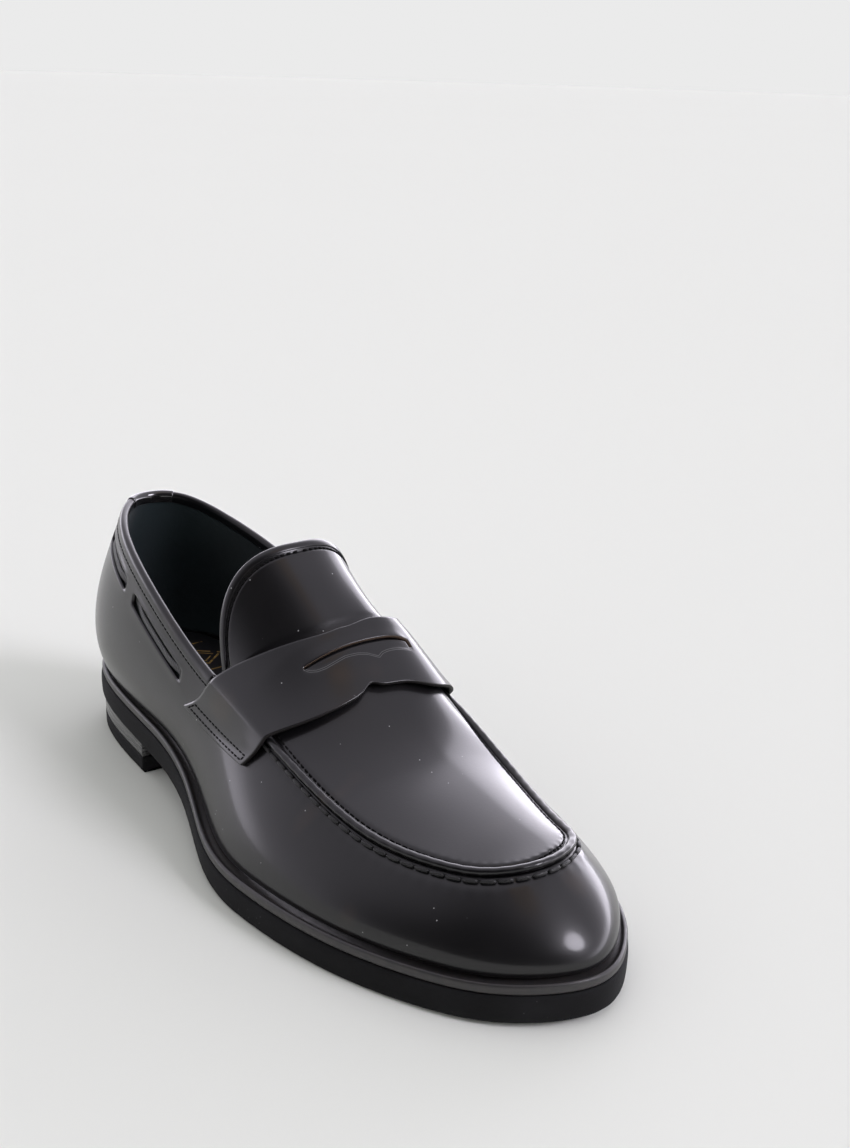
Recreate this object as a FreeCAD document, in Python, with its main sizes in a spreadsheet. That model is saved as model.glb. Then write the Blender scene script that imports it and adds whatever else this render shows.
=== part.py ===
"""A penny loafer for the right foot, in millimetres.

+X points to the toe, +Y to the inner (medial) side and +Z up. The origin lies on the ground at the
middle of the bounding box. The upper is one continuous skin over the foot: a wall that stands on the
welt and ends in the topline and the apron seam, and an arch that spans the seam as apron and tongue.
Every leather piece is a patch of that skin, lifted off it or sunk below it by its own thickness.
"""
import FreeCAD, Part
import math
import os

from FreeCAD import Placement, Vector

os.makedirs("parts", exist_ok=True)
doc = FreeCAD.newDocument("PennyLoafer")

# ---------------------------------------------------------------- driving dimensions
DRIVING = {
    "rubber_thick": 10.0,
    "welt_thick": 3.8,
    "welt_margin": 4.6,
    "heel_margin": 2.6,
    "welt_ring": 12.0,
    "insole_margin": 10.0,
    "insole_thick": 2.4,
    "insock_thick": 1.0,
    "pad_thick": 2.0,
    "layer_gap": 0.08,
    "shank_length": 92.0,
    "shank_width": 15.0,
    "shank_thick": 1.3,
    "seat_rise": 13.2,
    "seat_slope": 0.026,
    "toe_spring": 2.6,
    "heel_breast": 80.0,
    "top_piece_height": 7.0,
    "nail_radius": 1.1,
    "nail_sink": 5.0,
    "leather": 1.4,
    "stiffener": 0.5,
    "stiffener_room": 0.9,
    "lining": 0.9,
    "bead_radius": 1.5,
    "piping_radius": 1.75,
    "strap_thick": 1.5,
    "strap_lift": 2.0,
    "slit_width": 1.1,
    "backing_thick": 0.7,
    "window_width": 4.2,
    "window_drop": 11.8,
    "window_drop_back": 9.2,
    "lace_width": 3.2,
    "lace_thick": 0.6,
    "stitch_radius": 0.33,
    "tongue_gap": 0.5,
    "tab_wall": 0.7,
}
sheet = doc.addObject("Spreadsheet::Sheet", "Sizes")
for row, (alias, value) in enumerate(DRIVING.items(), start=1):
    sheet.set(f"A{row}", alias)
    sheet.set(f"B{row}", str(value))
    sheet.setAlias(f"B{row}", alias)
doc.recompute()


def size(alias):
    """The value of one spreadsheet cell."""
    return float(getattr(sheet, alias))


# ---------------------------------------------------------------- outline, underside and skin
# Stations run round the shoe: 0 is the middle of the heel, 1 to 9 the outer side, 10 the toe and
# 11 to 19 the inner side. Each has the welt's outer edge, the top of the wall (topline at the back,
# apron seam at the front) and how far the wall swells out between the two.
STATIONS = [
    ((-151.8, 4.0), (-139.6, 4.3, 100.0), 6.0),
    ((-144.4, -16.6), (-133.5, -8.6, 99.6), 7.0),
    ((-117.0, -28.0), (-112.0, -21.4, 94.3), 7.0),
    ((-78.5, -33.1), (-76.5, -28.6, 81.8), 5.0),
    ((-34.5, -40.0), (-38.0, -30.6, 66.4), 3.0),
    ((4.5, -53.1), (0.0, -31.6, 57.6), 2.2),
    ((39.5, -56.4), (38.0, -33.0, 49.8), 4.0),
    ((79.5, -50.7), (74.0, -30.3, 42.2), 5.6),
    ((115.5, -37.7), (101.5, -21.5, 40.6), 6.0),
    ((138.8, -21.4), (116.0, -11.0, 41.2), 6.0),
    ((151.5, 4.2), (122.6, 6.6, 42.4), 6.0),
    ((141.6, 26.6), (115.0, 24.4, 40.8), 5.6),
    ((120.0, 43.8), (100.5, 30.4, 39.8), 5.6),
    ((85.5, 55.8), (74.0, 37.8, 41.0), 5.6),
    ((50.5, 56.3), (44.0, 42.8, 47.4), 4.0),
    ((15.5, 46.3), (10.0, 43.4, 56.4), 4.0),
    ((-30.0, 32.3), (-30.0, 37.6, 65.2), 4.0),
    ((-70.1, 33.0), (-68.0, 37.4, 79.8), 5.0),
    ((-118.1, 37.0), (-112.0, 29.0, 93.2), 6.0),
    ((-143.5, 24.1), (-133.5, 17.2, 99.4), 6.5),
]
COUNT = len(STATIONS)
TOE = COUNT // 2
# height of the arch over the chord between two facing stations, from the toe back to the tongue
ARCH_RISE = [0.0, 2.8, 5.2, 7.2, 9.0, 26.0, 42.0]
# the crown leans to the inner side, and the section is flatter at the toe than at the instep
ARCH_LEAN = 0.3
ARCH_POWERS = (1.6, 2.4)
SEAT_END = -72.0
TREAD_START = 30.0
TREAD_END = 75.0
TOE_END = 155.0


def through(points, closed=False):
    """A smooth curve that passes through each point at its own index."""
    curve = Part.BSplineCurve()
    knots = [float(i) for i in range(len(points) + (1 if closed else 0))]
    curve.interpolate(Points=points, PeriodicFlag=closed, Parameters=knots)
    return curve


def underside(x):
    """Height of the rubber's underside: heel seat, waist, flat tread and toe spring."""
    if x < SEAT_END:
        return size("seat_rise") + (SEAT_END - x) * size("seat_slope")
    if x < TREAD_START:
        along = (x - SEAT_END) / (TREAD_START - SEAT_END)
        return size("seat_rise") * 0.5 * (1 + math.cos(math.pi * along))
    if x < TREAD_END:
        return 0.0
    return size("toe_spring") * ((x - TREAD_END) / (TOE_END - TREAD_END)) ** 2


# the sole's edge carries the swell of the wall above it as its third coordinate
edge_curve = through([Vector(x, y, swell) for (x, y), _, swell in STATIONS], closed=True)
top_curve = through([Vector(*top) for _, top, _ in STATIONS], closed=True)
rise_curve = through([Vector(rise, 0, 0) for rise in ARCH_RISE])
WELT_TOP = size("rubber_thick") + size("welt_thick")


def outward(s):
    """Level direction that points away from the shoe at a station."""
    along = edge_curve.tangent(s % COUNT)[0]
    normal = Vector(along.y, -along.x, 0)
    normal.normalize()
    return normal


def edge_point(s, margin):
    """Point of the sole's outline, moved in by a margin."""
    edge = edge_curve.value(s % COUNT)
    return Vector(edge.x, edge.y, 0) - outward(s) * margin


def from_heel(s):
    """Number of stations between a station and the middle of the heel."""
    place = s % COUNT
    return min(place, COUNT - place)


def fade(value, start, stop):
    """Smooth step from 0 at start to 1 at stop."""
    part = min(max((value - start) / (stop - start), 0.0), 1.0)
    return part * part * (3 - 2 * part)


def wall(s, v):
    """Point of the wall: v is 0 on the welt and 1 on the topline or the apron seam."""
    spread = fade(from_heel(s), 1.5, 5.0)
    foot = edge_point(s, size("heel_margin") + (size("welt_margin") - size("heel_margin")) * spread)
    foot.z = underside(foot.x) + WELT_TOP + size("layer_gap")
    top = top_curve.value(s % COUNT)
    swell = edge_curve.value(s % COUNT).z * math.sin(math.pi * max(v, 0.0) ** 0.75)
    return foot + (top - foot) * v + outward(s) * swell


def wall_height(s):
    """Straight height of the wall at a station."""
    return (top_curve.value(s % COUNT) - wall(s, 0)).Length


def skin(k, w):
    """Point of the upper, k stations back from the toe; w is -1 and 1 on the outer and inner seam,
    between them on the arch, and beyond them down the wall."""
    side = 1 if w > 0 else -1
    station = TOE + side * k
    if abs(w) > 1:
        return wall(station, 2 - abs(w))
    outer = top_curve.value((TOE - k) % COUNT)
    inner = top_curve.value((TOE + k) % COUNT)
    lean = (w - ARCH_LEAN) / (1 - ARCH_LEAN if w > ARCH_LEAN else 1 + ARCH_LEAN)
    blend = min(max((k - 3.5) / 1.5, 0.0), 1.0)
    power = ARCH_POWERS[0] + (ARCH_POWERS[1] - ARCH_POWERS[0]) * blend
    rise = rise_curve.value(k).x * (1 - abs(lean) ** power)
    return outer + (inner - outer) * (0.5 + 0.5 * w) + Vector(0, 0, rise)


def lifted(surface, a, b, lift, step_a=0.05, step_b=0.03):
    """Point of a surface moved along its own normal."""
    across = surface(a, b + step_b) - surface(a, b - step_b)
    along = surface(a + step_a, b) - surface(a - step_a, b)
    normal = along.cross(across)
    normal.normalize()
    return surface(a, b) + normal * lift


def wall_lifted(s, v, lift):
    """Point over the wall; the normal is taken a little inside its two edges."""
    inside = min(max(v, 0.03), 0.97)
    return lifted(wall, s, inside, lift) + wall(s, v) - wall(s, inside)


def skin_lifted(k, w, lift):
    """Point over the skin; the wide step rounds off the crease where arch and wall meet."""
    return lifted(skin, k, w, -lift, step_a=0.05, step_b=0.12)


def steps(start, stop, count):
    """Evenly spaced values, both ends included."""
    return [start + (stop - start) * i / (count - 1) for i in range(count)]


# ---------------------------------------------------------------- solids made of points
def between(outer, inner):
    """Closed solid lofted through one thin section for each row of two matching grids."""
    sections = []
    caps = []
    for over, under in zip(outer, inner):
        top = through(over)
        low = through(under)
        edges = [top, Part.LineSegment(top.EndPoint, low.EndPoint),
                 low, Part.LineSegment(low.StartPoint, top.StartPoint)]
        sections.append(Part.Wire([edge.toShape() for edge in edges]))
        caps.append((top, low))
    sides = Part.makeLoft(sections, False, False)
    ends = [Part.makeRuledSurface(top.toShape(), low.toShape()) for top, low in (caps[0], caps[-1])]
    shell = Part.makeShell(sides.Faces + ends)
    shell.sewShape(0.002)
    solid = Part.makeSolid(shell)
    if solid.Volume < 0:
        solid.reverse()
    return solid


def patch(point, rows, columns, top_lift, low_lift):
    """Solid sheet between two lifts; columns gives the range across for each row."""
    outer = []
    inner = []
    for a in rows:
        values = columns(a)
        outer.append([point(a, b, top_lift) for b in values])
        inner.append([point(a, b, low_lift) for b in values])
    return between(outer, inner)


def bar(path, sides, profile):
    """Solid that carries a flat profile of (side, rise) points along a path of points."""
    rings = []
    for i, centre in enumerate(path):
        along = path[min(i + 1, len(path) - 1)] - path[max(i - 1, 0)]
        along.normalize()
        side = sides[i] - along * sides[i].dot(along)
        side.normalize()
        rise = side.cross(along)
        corners = [centre + side * x + rise * y for x, y in profile]
        rings.append(Part.makePolygon(corners + corners[:1]))
    return Part.makeLoft(rings, True, True)


def round_profile(radius, corners=10):
    """Corners of a round rod's section."""
    turns = [2 * math.pi * i / corners for i in range(corners)]
    return [(radius * math.cos(turn), radius * math.sin(turn)) for turn in turns]


def stitch(start, end):
    """One short length of thread lying on the leather."""
    return Part.makeCylinder(size("stitch_radius"), (end - start).Length, start, end - start)


def stitch_row(point, start, stop, pitch):
    """Stitches along a line; point(a) lies on it, and a runs from start to stop."""
    places = [point(a) for a in steps(start, stop, 161)]
    length = sum((b - a).Length for a, b in zip(places, places[1:]))
    count = int(length / pitch)
    fill = 0.36
    ends = [start + (stop - start) * (i + half) / count for i in range(count) for half in (0.5 - fill, 0.5 + fill)]
    return [stitch(point(a), point(b)) for a, b in zip(ends[::2], ends[1::2])]


# ---------------------------------------------------------------- document objects
names = []


def keep(feature, label):
    """Give a finished sub-part its label and list it for writing."""
    feature.Label = label
    names.append(feature.Name)
    return feature


def solid_piece(label, shape):
    """A sub-part whose shape comes from points."""
    feature = doc.addObject("Part::Feature", label)
    feature.Shape = shape
    feature.Placement = Placement()
    return keep(feature, label)


def body_sketch(body, plane):
    """A new sketch on one of a body's own origin planes."""
    sketch = body.newObject("Sketcher::SketchObject", body.Name + "_sketch")
    support = [item for item in body.Origin.OriginFeatures if item.Role == plane][0]
    sketch.AttachmentSupport = [(support, "")]
    sketch.MapMode = "FlatFace"
    return sketch


def pad_body(name, plane, curves, length, middle=False):
    """A body that pads closed curves by an expression."""
    body = doc.addObject("PartDesign::Body", name)
    sketch = body_sketch(body, plane)
    for curve in curves:
        sketch.addGeometry(curve, False)
    pad = body.newObject("PartDesign::Pad", name + "_pad")
    pad.Profile = sketch
    pad.setExpression("Length", length)
    if middle:
        pad.SideType = "Symmetric"
    return body


def outline(margin, count=40):
    """Closed smooth curve of the sole's outline, moved in by a margin."""
    return through([edge_point(COUNT * i / count, margin) for i in range(count)], closed=True)


def layer_profile(start, stop, low, high):
    """Closed side view of a layer between two heights over the underside."""
    stations = steps(start, stop, max(6, int((stop - start) / 8)))
    lower = through([Vector(x, underside(x) + low(x), 0) for x in stations])
    upper = through([Vector(x, underside(x) + high(x), 0) for x in stations])
    ends = [Part.LineSegment(curve_a, curve_b) for curve_a, curve_b in
            ((lower.StartPoint, upper.StartPoint), (lower.EndPoint, upper.EndPoint))]
    return [lower, ends[1], upper, ends[0]]


def layer(label, plan, start, stop, low, high, cuts=()):
    """A layer of the bottom: a plan view and a side view padded through each other."""
    plan_body = pad_body(label + "_plan", "XY_Plane", plan, "Sizes.rubber_thick * 5")
    side_body = pad_body(label + "_side", "XZ_Plane", layer_profile(start, stop, low, high),
                         "Sizes.rubber_thick * 20", middle=True)
    result = doc.addObject("Part::Common", label + ("_whole" if cuts else ""))
    result.Base = plan_body
    result.Tool = side_body
    for number, tool in enumerate(cuts, start=1):
        last = number == len(cuts)
        cut = doc.addObject("Part::Cut", label if last else f"{label}_cut{number}")
        cut.Base = result
        cut.Tool = tool
        result = cut
    return keep(result, label)


def level(height):
    """A layer height that is the same all along the shoe."""
    return lambda x: height


# ---------------------------------------------------------------- bottom
GAP = size("layer_gap")
INSOLE_LOW = WELT_TOP + GAP
INSOLE_TOP = INSOLE_LOW + size("insole_thick")
ENDS = (-154.0, 154.0)

# five nails hold the heel block to the sole from inside the block
nail_places = [(-137.0, 4.5), (-124.0, -12.0), (-124.0, 22.0), (-95.0, -16.0), (-95.0, 24.0)]
nail_low = size("top_piece_height") + 0.2


def nail_group(radius, low):
    """The five nails as separate rods."""
    rods = []
    for x, y in nail_places:
        top = underside(x) + size("nail_sink")
        rods.append(Part.makeCylinder(radius, top - low, Vector(x, y, low)))
    return Part.makeCompound(rods)


nail_room = doc.addObject("Part::Feature", "nail_room")
nail_room.Shape = nail_group(size("nail_radius") + 0.01, nail_low - 0.1)
solid_piece("heel_nails", nail_group(size("nail_radius"), nail_low))

layer("outsole", [outline(0)], *ENDS, level(0), level(size("rubber_thick")), cuts=[nail_room])
layer("welt", [outline(0.4), outline(size("welt_ring"))], *ENDS,
      level(size("rubber_thick") + GAP), level(WELT_TOP))

# rubber-tipped heel: a block under the seat and a flat top piece on the ground
breast = -size("heel_breast")
heel_margin = 1.2


def heel_outline():
    """Plan of the heel: the sole's outline behind a slightly hollow breast."""
    reach = 2.93
    rim = through([edge_point(s, heel_margin) for s in steps(-reach, reach, 17)])
    middle = Vector(breast, 4.0, 0)
    return [rim, Part.Arc(rim.EndPoint, middle, rim.StartPoint)]


block_plan = pad_body("heel_block_plan", "XY_Plane", heel_outline(), "Sizes.rubber_thick * 3")
block_side = pad_body("heel_block_side", "XZ_Plane",
                      layer_profile(-154.0, -60.0, lambda x: size("top_piece_height") - underside(x),
                                    level(-0.01)), "Sizes.rubber_thick * 20", middle=True)
block_whole = doc.addObject("Part::Common", "heel_block_whole")
block_whole.Base = block_plan
block_whole.Tool = block_side
heel_block = doc.addObject("Part::Cut", "heel_block")
heel_block.Base = block_whole
heel_block.Tool = nail_room
keep(heel_block, "heel_block")
keep(pad_body("heel_top_piece", "XY_Plane", heel_outline(), "Sizes.top_piece_height - Sizes.layer_gap"),
     "heel_top_piece")

# steel shank bedded in the filler, between the outsole and the insole board
shank_low = size("rubber_thick") + 0.8


def shank_plan(margin):
    """Round-ended strip over the waist of the sole."""
    half = size("shank_width") / 2 + margin
    back = -100.0
    front = back + size("shank_length")
    middle = 2.0
    left = middle + half
    right = middle - half
    return [Part.LineSegment(Vector(back, right, 0), Vector(front, right, 0)),
            Part.Arc(Vector(front, right, 0), Vector(front + half, middle, 0), Vector(front, left, 0)),
            Part.LineSegment(Vector(front, left, 0), Vector(back, left, 0)),
            Part.Arc(Vector(back, left, 0), Vector(back - half, middle, 0), Vector(back, right, 0))]


layer("shank", shank_plan(0), -120.0, 10.0, level(shank_low), level(shank_low + size("shank_thick")))
bed_plan = pad_body("shank_bed_plan", "XY_Plane", shank_plan(0.05), "Sizes.rubber_thick * 5")
bed_side = pad_body("shank_bed_side", "XZ_Plane",
                    layer_profile(-120.0, 10.0, level(shank_low - 0.05),
                                  level(shank_low + size("shank_thick") + 0.05)),
                    "Sizes.rubber_thick * 20", middle=True)
shank_bed = doc.addObject("Part::Common", "shank_bed")
shank_bed.Base = bed_plan
shank_bed.Tool = bed_side
layer("bottom_filler", [outline(size("welt_ring") + 0.1)], *ENDS,
      level(size("rubber_thick") + GAP), level(WELT_TOP - 0.02), cuts=[shank_bed])

layer("insole_board", [outline(size("insole_margin"))], *ENDS, level(INSOLE_LOW), level(INSOLE_TOP))


def pad_top(x):
    """Height of the heel pad over the underside: thick at the heel, feathered towards the waist."""
    return INSOLE_TOP + 0.35 + (size("pad_thick") - 0.35) * fade(-x, 58.0, 82.0)


layer("heel_pad", [outline(size("insole_margin") + 3)], -154.0, -58.0,
      level(INSOLE_TOP + 0.02), pad_top)


def insock_low(x):
    """The insock lies over the pad at the heel and on the insole board in front."""
    return INSOLE_TOP + 0.05 + 0.4 * fade(-x, 50.0, 57.0) + size("pad_thick") * fade(-x, 54.0, 80.0)


layer("insock", [outline(size("insole_margin") + 0.6)], *ENDS, insock_low,
      lambda x: insock_low(x) + size("insock_thick"))

# ---------------------------------------------------------------- upper
LEATHER = size("leather")
# the lining keeps clear of the outer leather by the room for the stiffeners and the lace
LINING_TOP = -LEATHER - size("stiffener_room")
LINING_LOW = LINING_TOP - size("lining")
STIFF_TOP = -LEATHER - 0.2
STIFF_LOW = STIFF_TOP - size("stiffener")
STRAP_OUTER = 4.3
STRAP_INNER = 15.85
SEAM = 15.78
SEAM_GAP = 0.006


def bead_room(s):
    """v where the wall stops, under the topline binding or beside the apron piping."""
    radius = max(size("bead_radius"), size("piping_radius")) + 0.1
    return 1 - radius / wall_height(s)


def wall_columns(low, high=None, count=10):
    """Values up the wall, to the bead or to a stated height."""
    return lambda s: steps(low, bead_room(s) if high is None else high, count)


def window_drop(s):
    """v of the lace's middle line, which runs a little closer to the topline at the back."""
    spread = fade(from_heel(s), 0.8, 3.4)
    drop = size("window_drop_back") + (size("window_drop") - size("window_drop_back")) * spread
    return 1 - drop / wall_height(s)


def window(start, stop):
    """Cutter for one slot in the quarter, along the lace."""
    half = size("window_width") / 2

    def columns(s):
        return steps(window_drop(s) - half / wall_height(s), window_drop(s) + half / wall_height(s), 3)

    return patch(wall_lifted, steps(start, stop, 9), columns, 2.0, -LEATHER - 0.07)


OUTER_WINDOWS = [(1.42, 2.5), (2.73, 3.8)]
INNER_WINDOWS = [(16.42, 17.42), (17.62, 18.68)]

vamp = patch(wall_lifted, steps(0.015, SEAM - SEAM_GAP, 79), wall_columns(0.0), 0.0, -LEATHER)
for start, stop in OUTER_WINDOWS:
    vamp = vamp.cut(window(start, stop))
solid_piece("vamp", vamp)
quarter = patch(wall_lifted, steps(SEAM + SEAM_GAP, COUNT - 0.015, 25), wall_columns(0.0), 0.0, -LEATHER)
for start, stop in INNER_WINDOWS:
    quarter = quarter.cut(window(start, stop))
solid_piece("medial_quarter", quarter)

solid_piece("toe_puff", patch(wall_lifted, steps(TOE - 2.4, TOE + 2.4, 25),
                              wall_columns(0.05, 0.9), STIFF_TOP, STIFF_LOW))
solid_piece("heel_counter", patch(wall_lifted, steps(-2.9, 2.9, 59),
                                  wall_columns(0.04, 0.62), STIFF_TOP, STIFF_LOW))
solid_piece("quarter_lining", patch(wall_lifted, steps(STRAP_INNER - COUNT, STRAP_OUTER, 45),
                                    wall_columns(0.03), LINING_TOP, LINING_LOW))


def side_lace(start, stop):
    """Flat lace between quarter and lining, one run of it along a side and round the heel."""
    half = size("lace_width") / 2

    def columns(s):
        return steps(window_drop(s) - half / wall_height(s), window_drop(s) + half / wall_height(s), 3)

    return patch(wall_lifted, steps(start, stop, 41), columns, STIFF_TOP, STIFF_TOP - size("lace_thick"))


solid_piece("collar_lace", side_lace(16.15 - COUNT, 4.05))

# plug of the vamp and the arch of its lining
APRON_END = 5.0


# how far the seam falls back from the toe over the first station, which rounds the apron's end
TOE_FALL = STATIONS[TOE][1][0] - 0.5 * (STATIONS[TOE - 1][1][0] + STATIONS[TOE + 1][1][0])


def arch_columns(k):
    """Values across the arch, clear of the piping at both sides and round the toe."""
    margin = size("piping_radius") + 0.15
    half = 0.5 * (skin(k, 1) - skin(k, -1)).Length
    side = 1 - margin / max(half, 2.2)
    toe = math.sqrt(max(1 - margin * 1.15 / (TOE_FALL * k * k), 0.02))
    reach = min(side, toe)
    return steps(-reach, reach, 13)


def arch_lifted(k, w, lift):
    """Point over the arch alone."""
    def arch(a, b):
        return skin(max(a, 0.02), min(max(b, -1), 1))

    return lifted(arch, k, w, -lift)


apron_rows = [0.57, 0.63, 0.73, 0.86] + steps(1.05, APRON_END, 19)
solid_piece("apron", patch(arch_lifted, apron_rows, arch_columns, 0.0, -LEATHER))

# the lining of the front is lasted in two pieces, round the wall and under the apron
lining_wall = patch(wall_lifted, steps(STRAP_OUTER + 0.03, STRAP_INNER - 0.03, 61), wall_columns(0.03),
                    LINING_TOP, LINING_LOW)
lining_arch = patch(arch_lifted, [0.7, 0.85] + steps(1.05, APRON_END - 0.1, 19), arch_columns,
                    LINING_TOP + 0.5, LINING_LOW + 0.5)
solid_piece("vamp_lining", Part.makeCompound([lining_wall, lining_arch]))


def seam_path(start, stop, count, lift):
    """Points along the topline or the apron seam, with the sideways direction at each."""
    path = []
    sides = []
    for s in steps(start, stop, count):
        over = wall_lifted(s, 0.999, 1.0) - wall(s, 0.999)
        path.append(top_curve.value(s % COUNT) + over * lift)
        sides.append(over)
    return path, sides


PIPING_START = 5.42
PIPING_STOP = 15.2
solid_piece("apron_piping", bar(*seam_path(PIPING_START, PIPING_STOP, 61, 0.2),
                                round_profile(size("piping_radius"))))
solid_piece("topline_binding", bar(*seam_path(STRAP_INNER - COUNT, STRAP_OUTER, 61, -1.3),
                                   round_profile(size("bead_radius"))))


def half_shell(inner, outer):
    """Section of a strip that wraps over the upper half of a bead."""
    turns = steps(math.radians(-25), math.radians(205), 10)
    over = [(outer * math.cos(turn), outer * math.sin(turn)) for turn in turns]
    under = [(inner * math.cos(turn), inner * math.sin(turn)) for turn in reversed(turns)]
    return over + under


TAB_REACH = 0.86
tab_inner = size("bead_radius") + 0.08
solid_piece("back_tab", bar(*seam_path(-TAB_REACH, TAB_REACH, 15, -1.3),
                            half_shell(tab_inner, tab_inner + size("tab_wall"))))

# ---------------------------------------------------------------- saddle strap
# the strap from the outer to the inner end: w and k of its front edge, then of its rear edge
STRAP = [(-1.30, 4.73, -1.42, 6.00), (-1.15, 4.60, -1.20, 5.72), (-1.00, 4.52, -1.00, 5.55),
         (-0.70, 4.40, -0.70, 5.25), (-0.35, 4.37, -0.35, 5.06), (-0.12, 4.41, -0.12, 5.01),
         (0.00, 4.47, 0.00, 5.01), (0.12, 4.43, 0.12, 5.01), (0.35, 4.41, 0.35, 5.04),
         (0.70, 4.42, 0.70, 5.16), (1.00, 4.68, 1.00, 5.70), (1.15, 4.84, 1.20, 5.90),
         (1.30, 5.02, 1.42, 6.19)]


def strap_lift(w):
    """The strap lies on the wall at its sewn ends and stands off the apron between them."""
    return 0.12 + size("strap_lift") * (1 - fade(abs(w), 0.95, 1.3))


def strap_solid(along, columns, low, high):
    """Sheet over a part of the strap; along runs from 0 at the front edge to 1 at the rear."""
    outer = []
    inner = []
    for w_front, front, w_rear, rear in columns:
        places = [(front + (rear - front) * part, w_front + (w_rear - w_front) * part) for part in along]
        outer.append([skin_lifted(k, w, strap_lift(w) + high) for k, w in places])
        inner.append([skin_lifted(k, w, strap_lift(w) + low) for k, w in places])
    return between(outer, inner)


SLIT = [(w, 4.83, w, 4.83 + size("slit_width") / 36.0) for w in steps(-0.47, 0.58, 9)]
strap_front = through([Vector(w, k, 0) for w, k, _, _ in STRAP])
strap_rear = through([Vector(w, k, 0) for _, _, w, k in STRAP])


def strap_columns(count):
    """Evenly spaced columns of the strap's table, smoothed between its entries."""
    columns = []
    for place in steps(0.0, len(STRAP) - 1.0, count):
        front = strap_front.value(place)
        rear = strap_rear.value(place)
        columns.append((front.x, front.y, rear.x, rear.y))
    return columns


strap = strap_solid(steps(0, 1, 7), strap_columns(49), 0.0, size("strap_thick"))
strap = strap.cut(strap_solid(steps(0, 1, 3), SLIT, -1.0, size("strap_thick") + 1.0))
solid_piece("saddle_strap", strap)
BACKING = [(w, 4.66, w, 4.97) for w in steps(-0.55, 0.66, 9)]
solid_piece("slot_backing", strap_solid(steps(0, 1, 4), BACKING,
                                        -0.05 - size("backing_thick"), -0.05))

# ---------------------------------------------------------------- tongue
TONGUE_HALF = 30.6
TONGUE_MIDDLE = (3.4, 7.4)
TONGUE_TOP = 108.5
TONGUE_FOOT = 67.0
TONGUE_REAR = -25.5
TONGUE_SWEEP = 8.5
TONGUE_TUCK = 11.0
TONGUE_POWER = 2.6
TONGUE_LEG = 6.0
TONGUE_FOLD = 0.9


def strap_edge(w):
    """k of the strap's rear edge at a value across the upper."""
    low, high = 0.0, len(STRAP) - 1.0
    for _ in range(30):
        middle = 0.5 * (low + high)
        if strap_rear.value(middle).x < w:
            low = middle
        else:
            high = middle
    return strap_rear.value(low).y


def tongue_surface(along, across):
    """Point of the tongue: along is 0 at the strap and 1 at the free edge, across is -1 to 1. Past the
    fold the sides hang straight down inside the collar."""
    arc = min(max(across / TONGUE_FOLD, -1.0), 1.0)
    hang = max(abs(across) - TONGUE_FOLD, 0.0) / (1 - TONGUE_FOLD)
    w = 0.85 * arc
    start = skin(strap_edge(w) + size("tongue_gap") / 38, w)
    turn = 0.5 * math.pi * arc
    side = math.copysign(abs(math.sin(turn)) ** (2 / TONGUE_POWER), arc)
    height = abs(math.cos(turn)) ** (2 / TONGUE_POWER)
    sunk = (1 - height) ** 2
    middle = TONGUE_MIDDLE[1] + (TONGUE_MIDDLE[0] - TONGUE_MIDDLE[1]) * sunk
    end = Vector(TONGUE_REAR - TONGUE_SWEEP * side * side + TONGUE_TUCK * sunk,
                 middle + TONGUE_HALF * side, TONGUE_FOOT + (TONGUE_TOP - TONGUE_FOOT) * height)
    bow = Vector(-0.6, 0, 1.0) * (2.0 * along * (1 - along) * (1 - side * side))
    return start + (end - start) * along + bow - Vector(0, 0, TONGUE_LEG * hang)


def tongue_lifted(along, across, lift):
    """Point over the tongue."""
    inside = min(max(across, -0.97), 0.97)
    moved = lifted(tongue_surface, along, inside, -lift, step_a=0.05, step_b=0.02)
    return tongue_surface(along, across) + moved - tongue_surface(along, inside)


def tongue_sheet(high, low, margin):
    """Sheet of the tongue, short of its free edge by a margin."""
    outer = []
    inner = []
    for across in steps(-1, 1, 25):
        run = (tongue_surface(1, across) - tongue_surface(0, across)).Length
        places = steps(0, 1 - margin / run, 7)
        outer.append([tongue_lifted(along, across, high) for along in places])
        inner.append([tongue_lifted(along, across, low) for along in places])
    return between(outer, inner)


tongue_bead = size("bead_radius") - 0.2
solid_piece("tongue", tongue_sheet(0.0, -LEATHER, tongue_bead + 0.4))
solid_piece("tongue_lining", tongue_sheet(-LEATHER - 0.2, -LEATHER - 0.2 - size("lining"), tongue_bead + 0.4))
tongue_edge = [tongue_surface(1, across) for across in steps(-1, 1, 41)]
tongue_sides = [tongue_lifted(1, across, 1.0) - tongue_surface(1, across) for across in steps(-1, 1, 41)]
edge_drop = 1.0
tongue_edge = [place - side * edge_drop for place, side in zip(tongue_edge, tongue_sides)]
solid_piece("tongue_binding", bar(tongue_edge, tongue_sides, round_profile(tongue_bead)))

# ---------------------------------------------------------------- stitching
THREAD = size("stitch_radius")
on_leather = THREAD + 0.03


def beside_seam(s, drop, lift):
    """Point of the wall a stated distance below its top."""
    return wall_lifted(s, 1 - drop / wall_height(s), lift)


def beside_arch(s, drop, lift):
    """Point of the apron a stated distance inside the seam."""
    k = abs(s - TOE)
    half = 0.5 * (skin(max(k, 0.3), 1) - skin(max(k, 0.3), -1)).Length
    w = math.copysign(max(1 - drop / half, 0.0), s - TOE)
    return arch_lifted(max(k, 0.32), w, lift)


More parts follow.
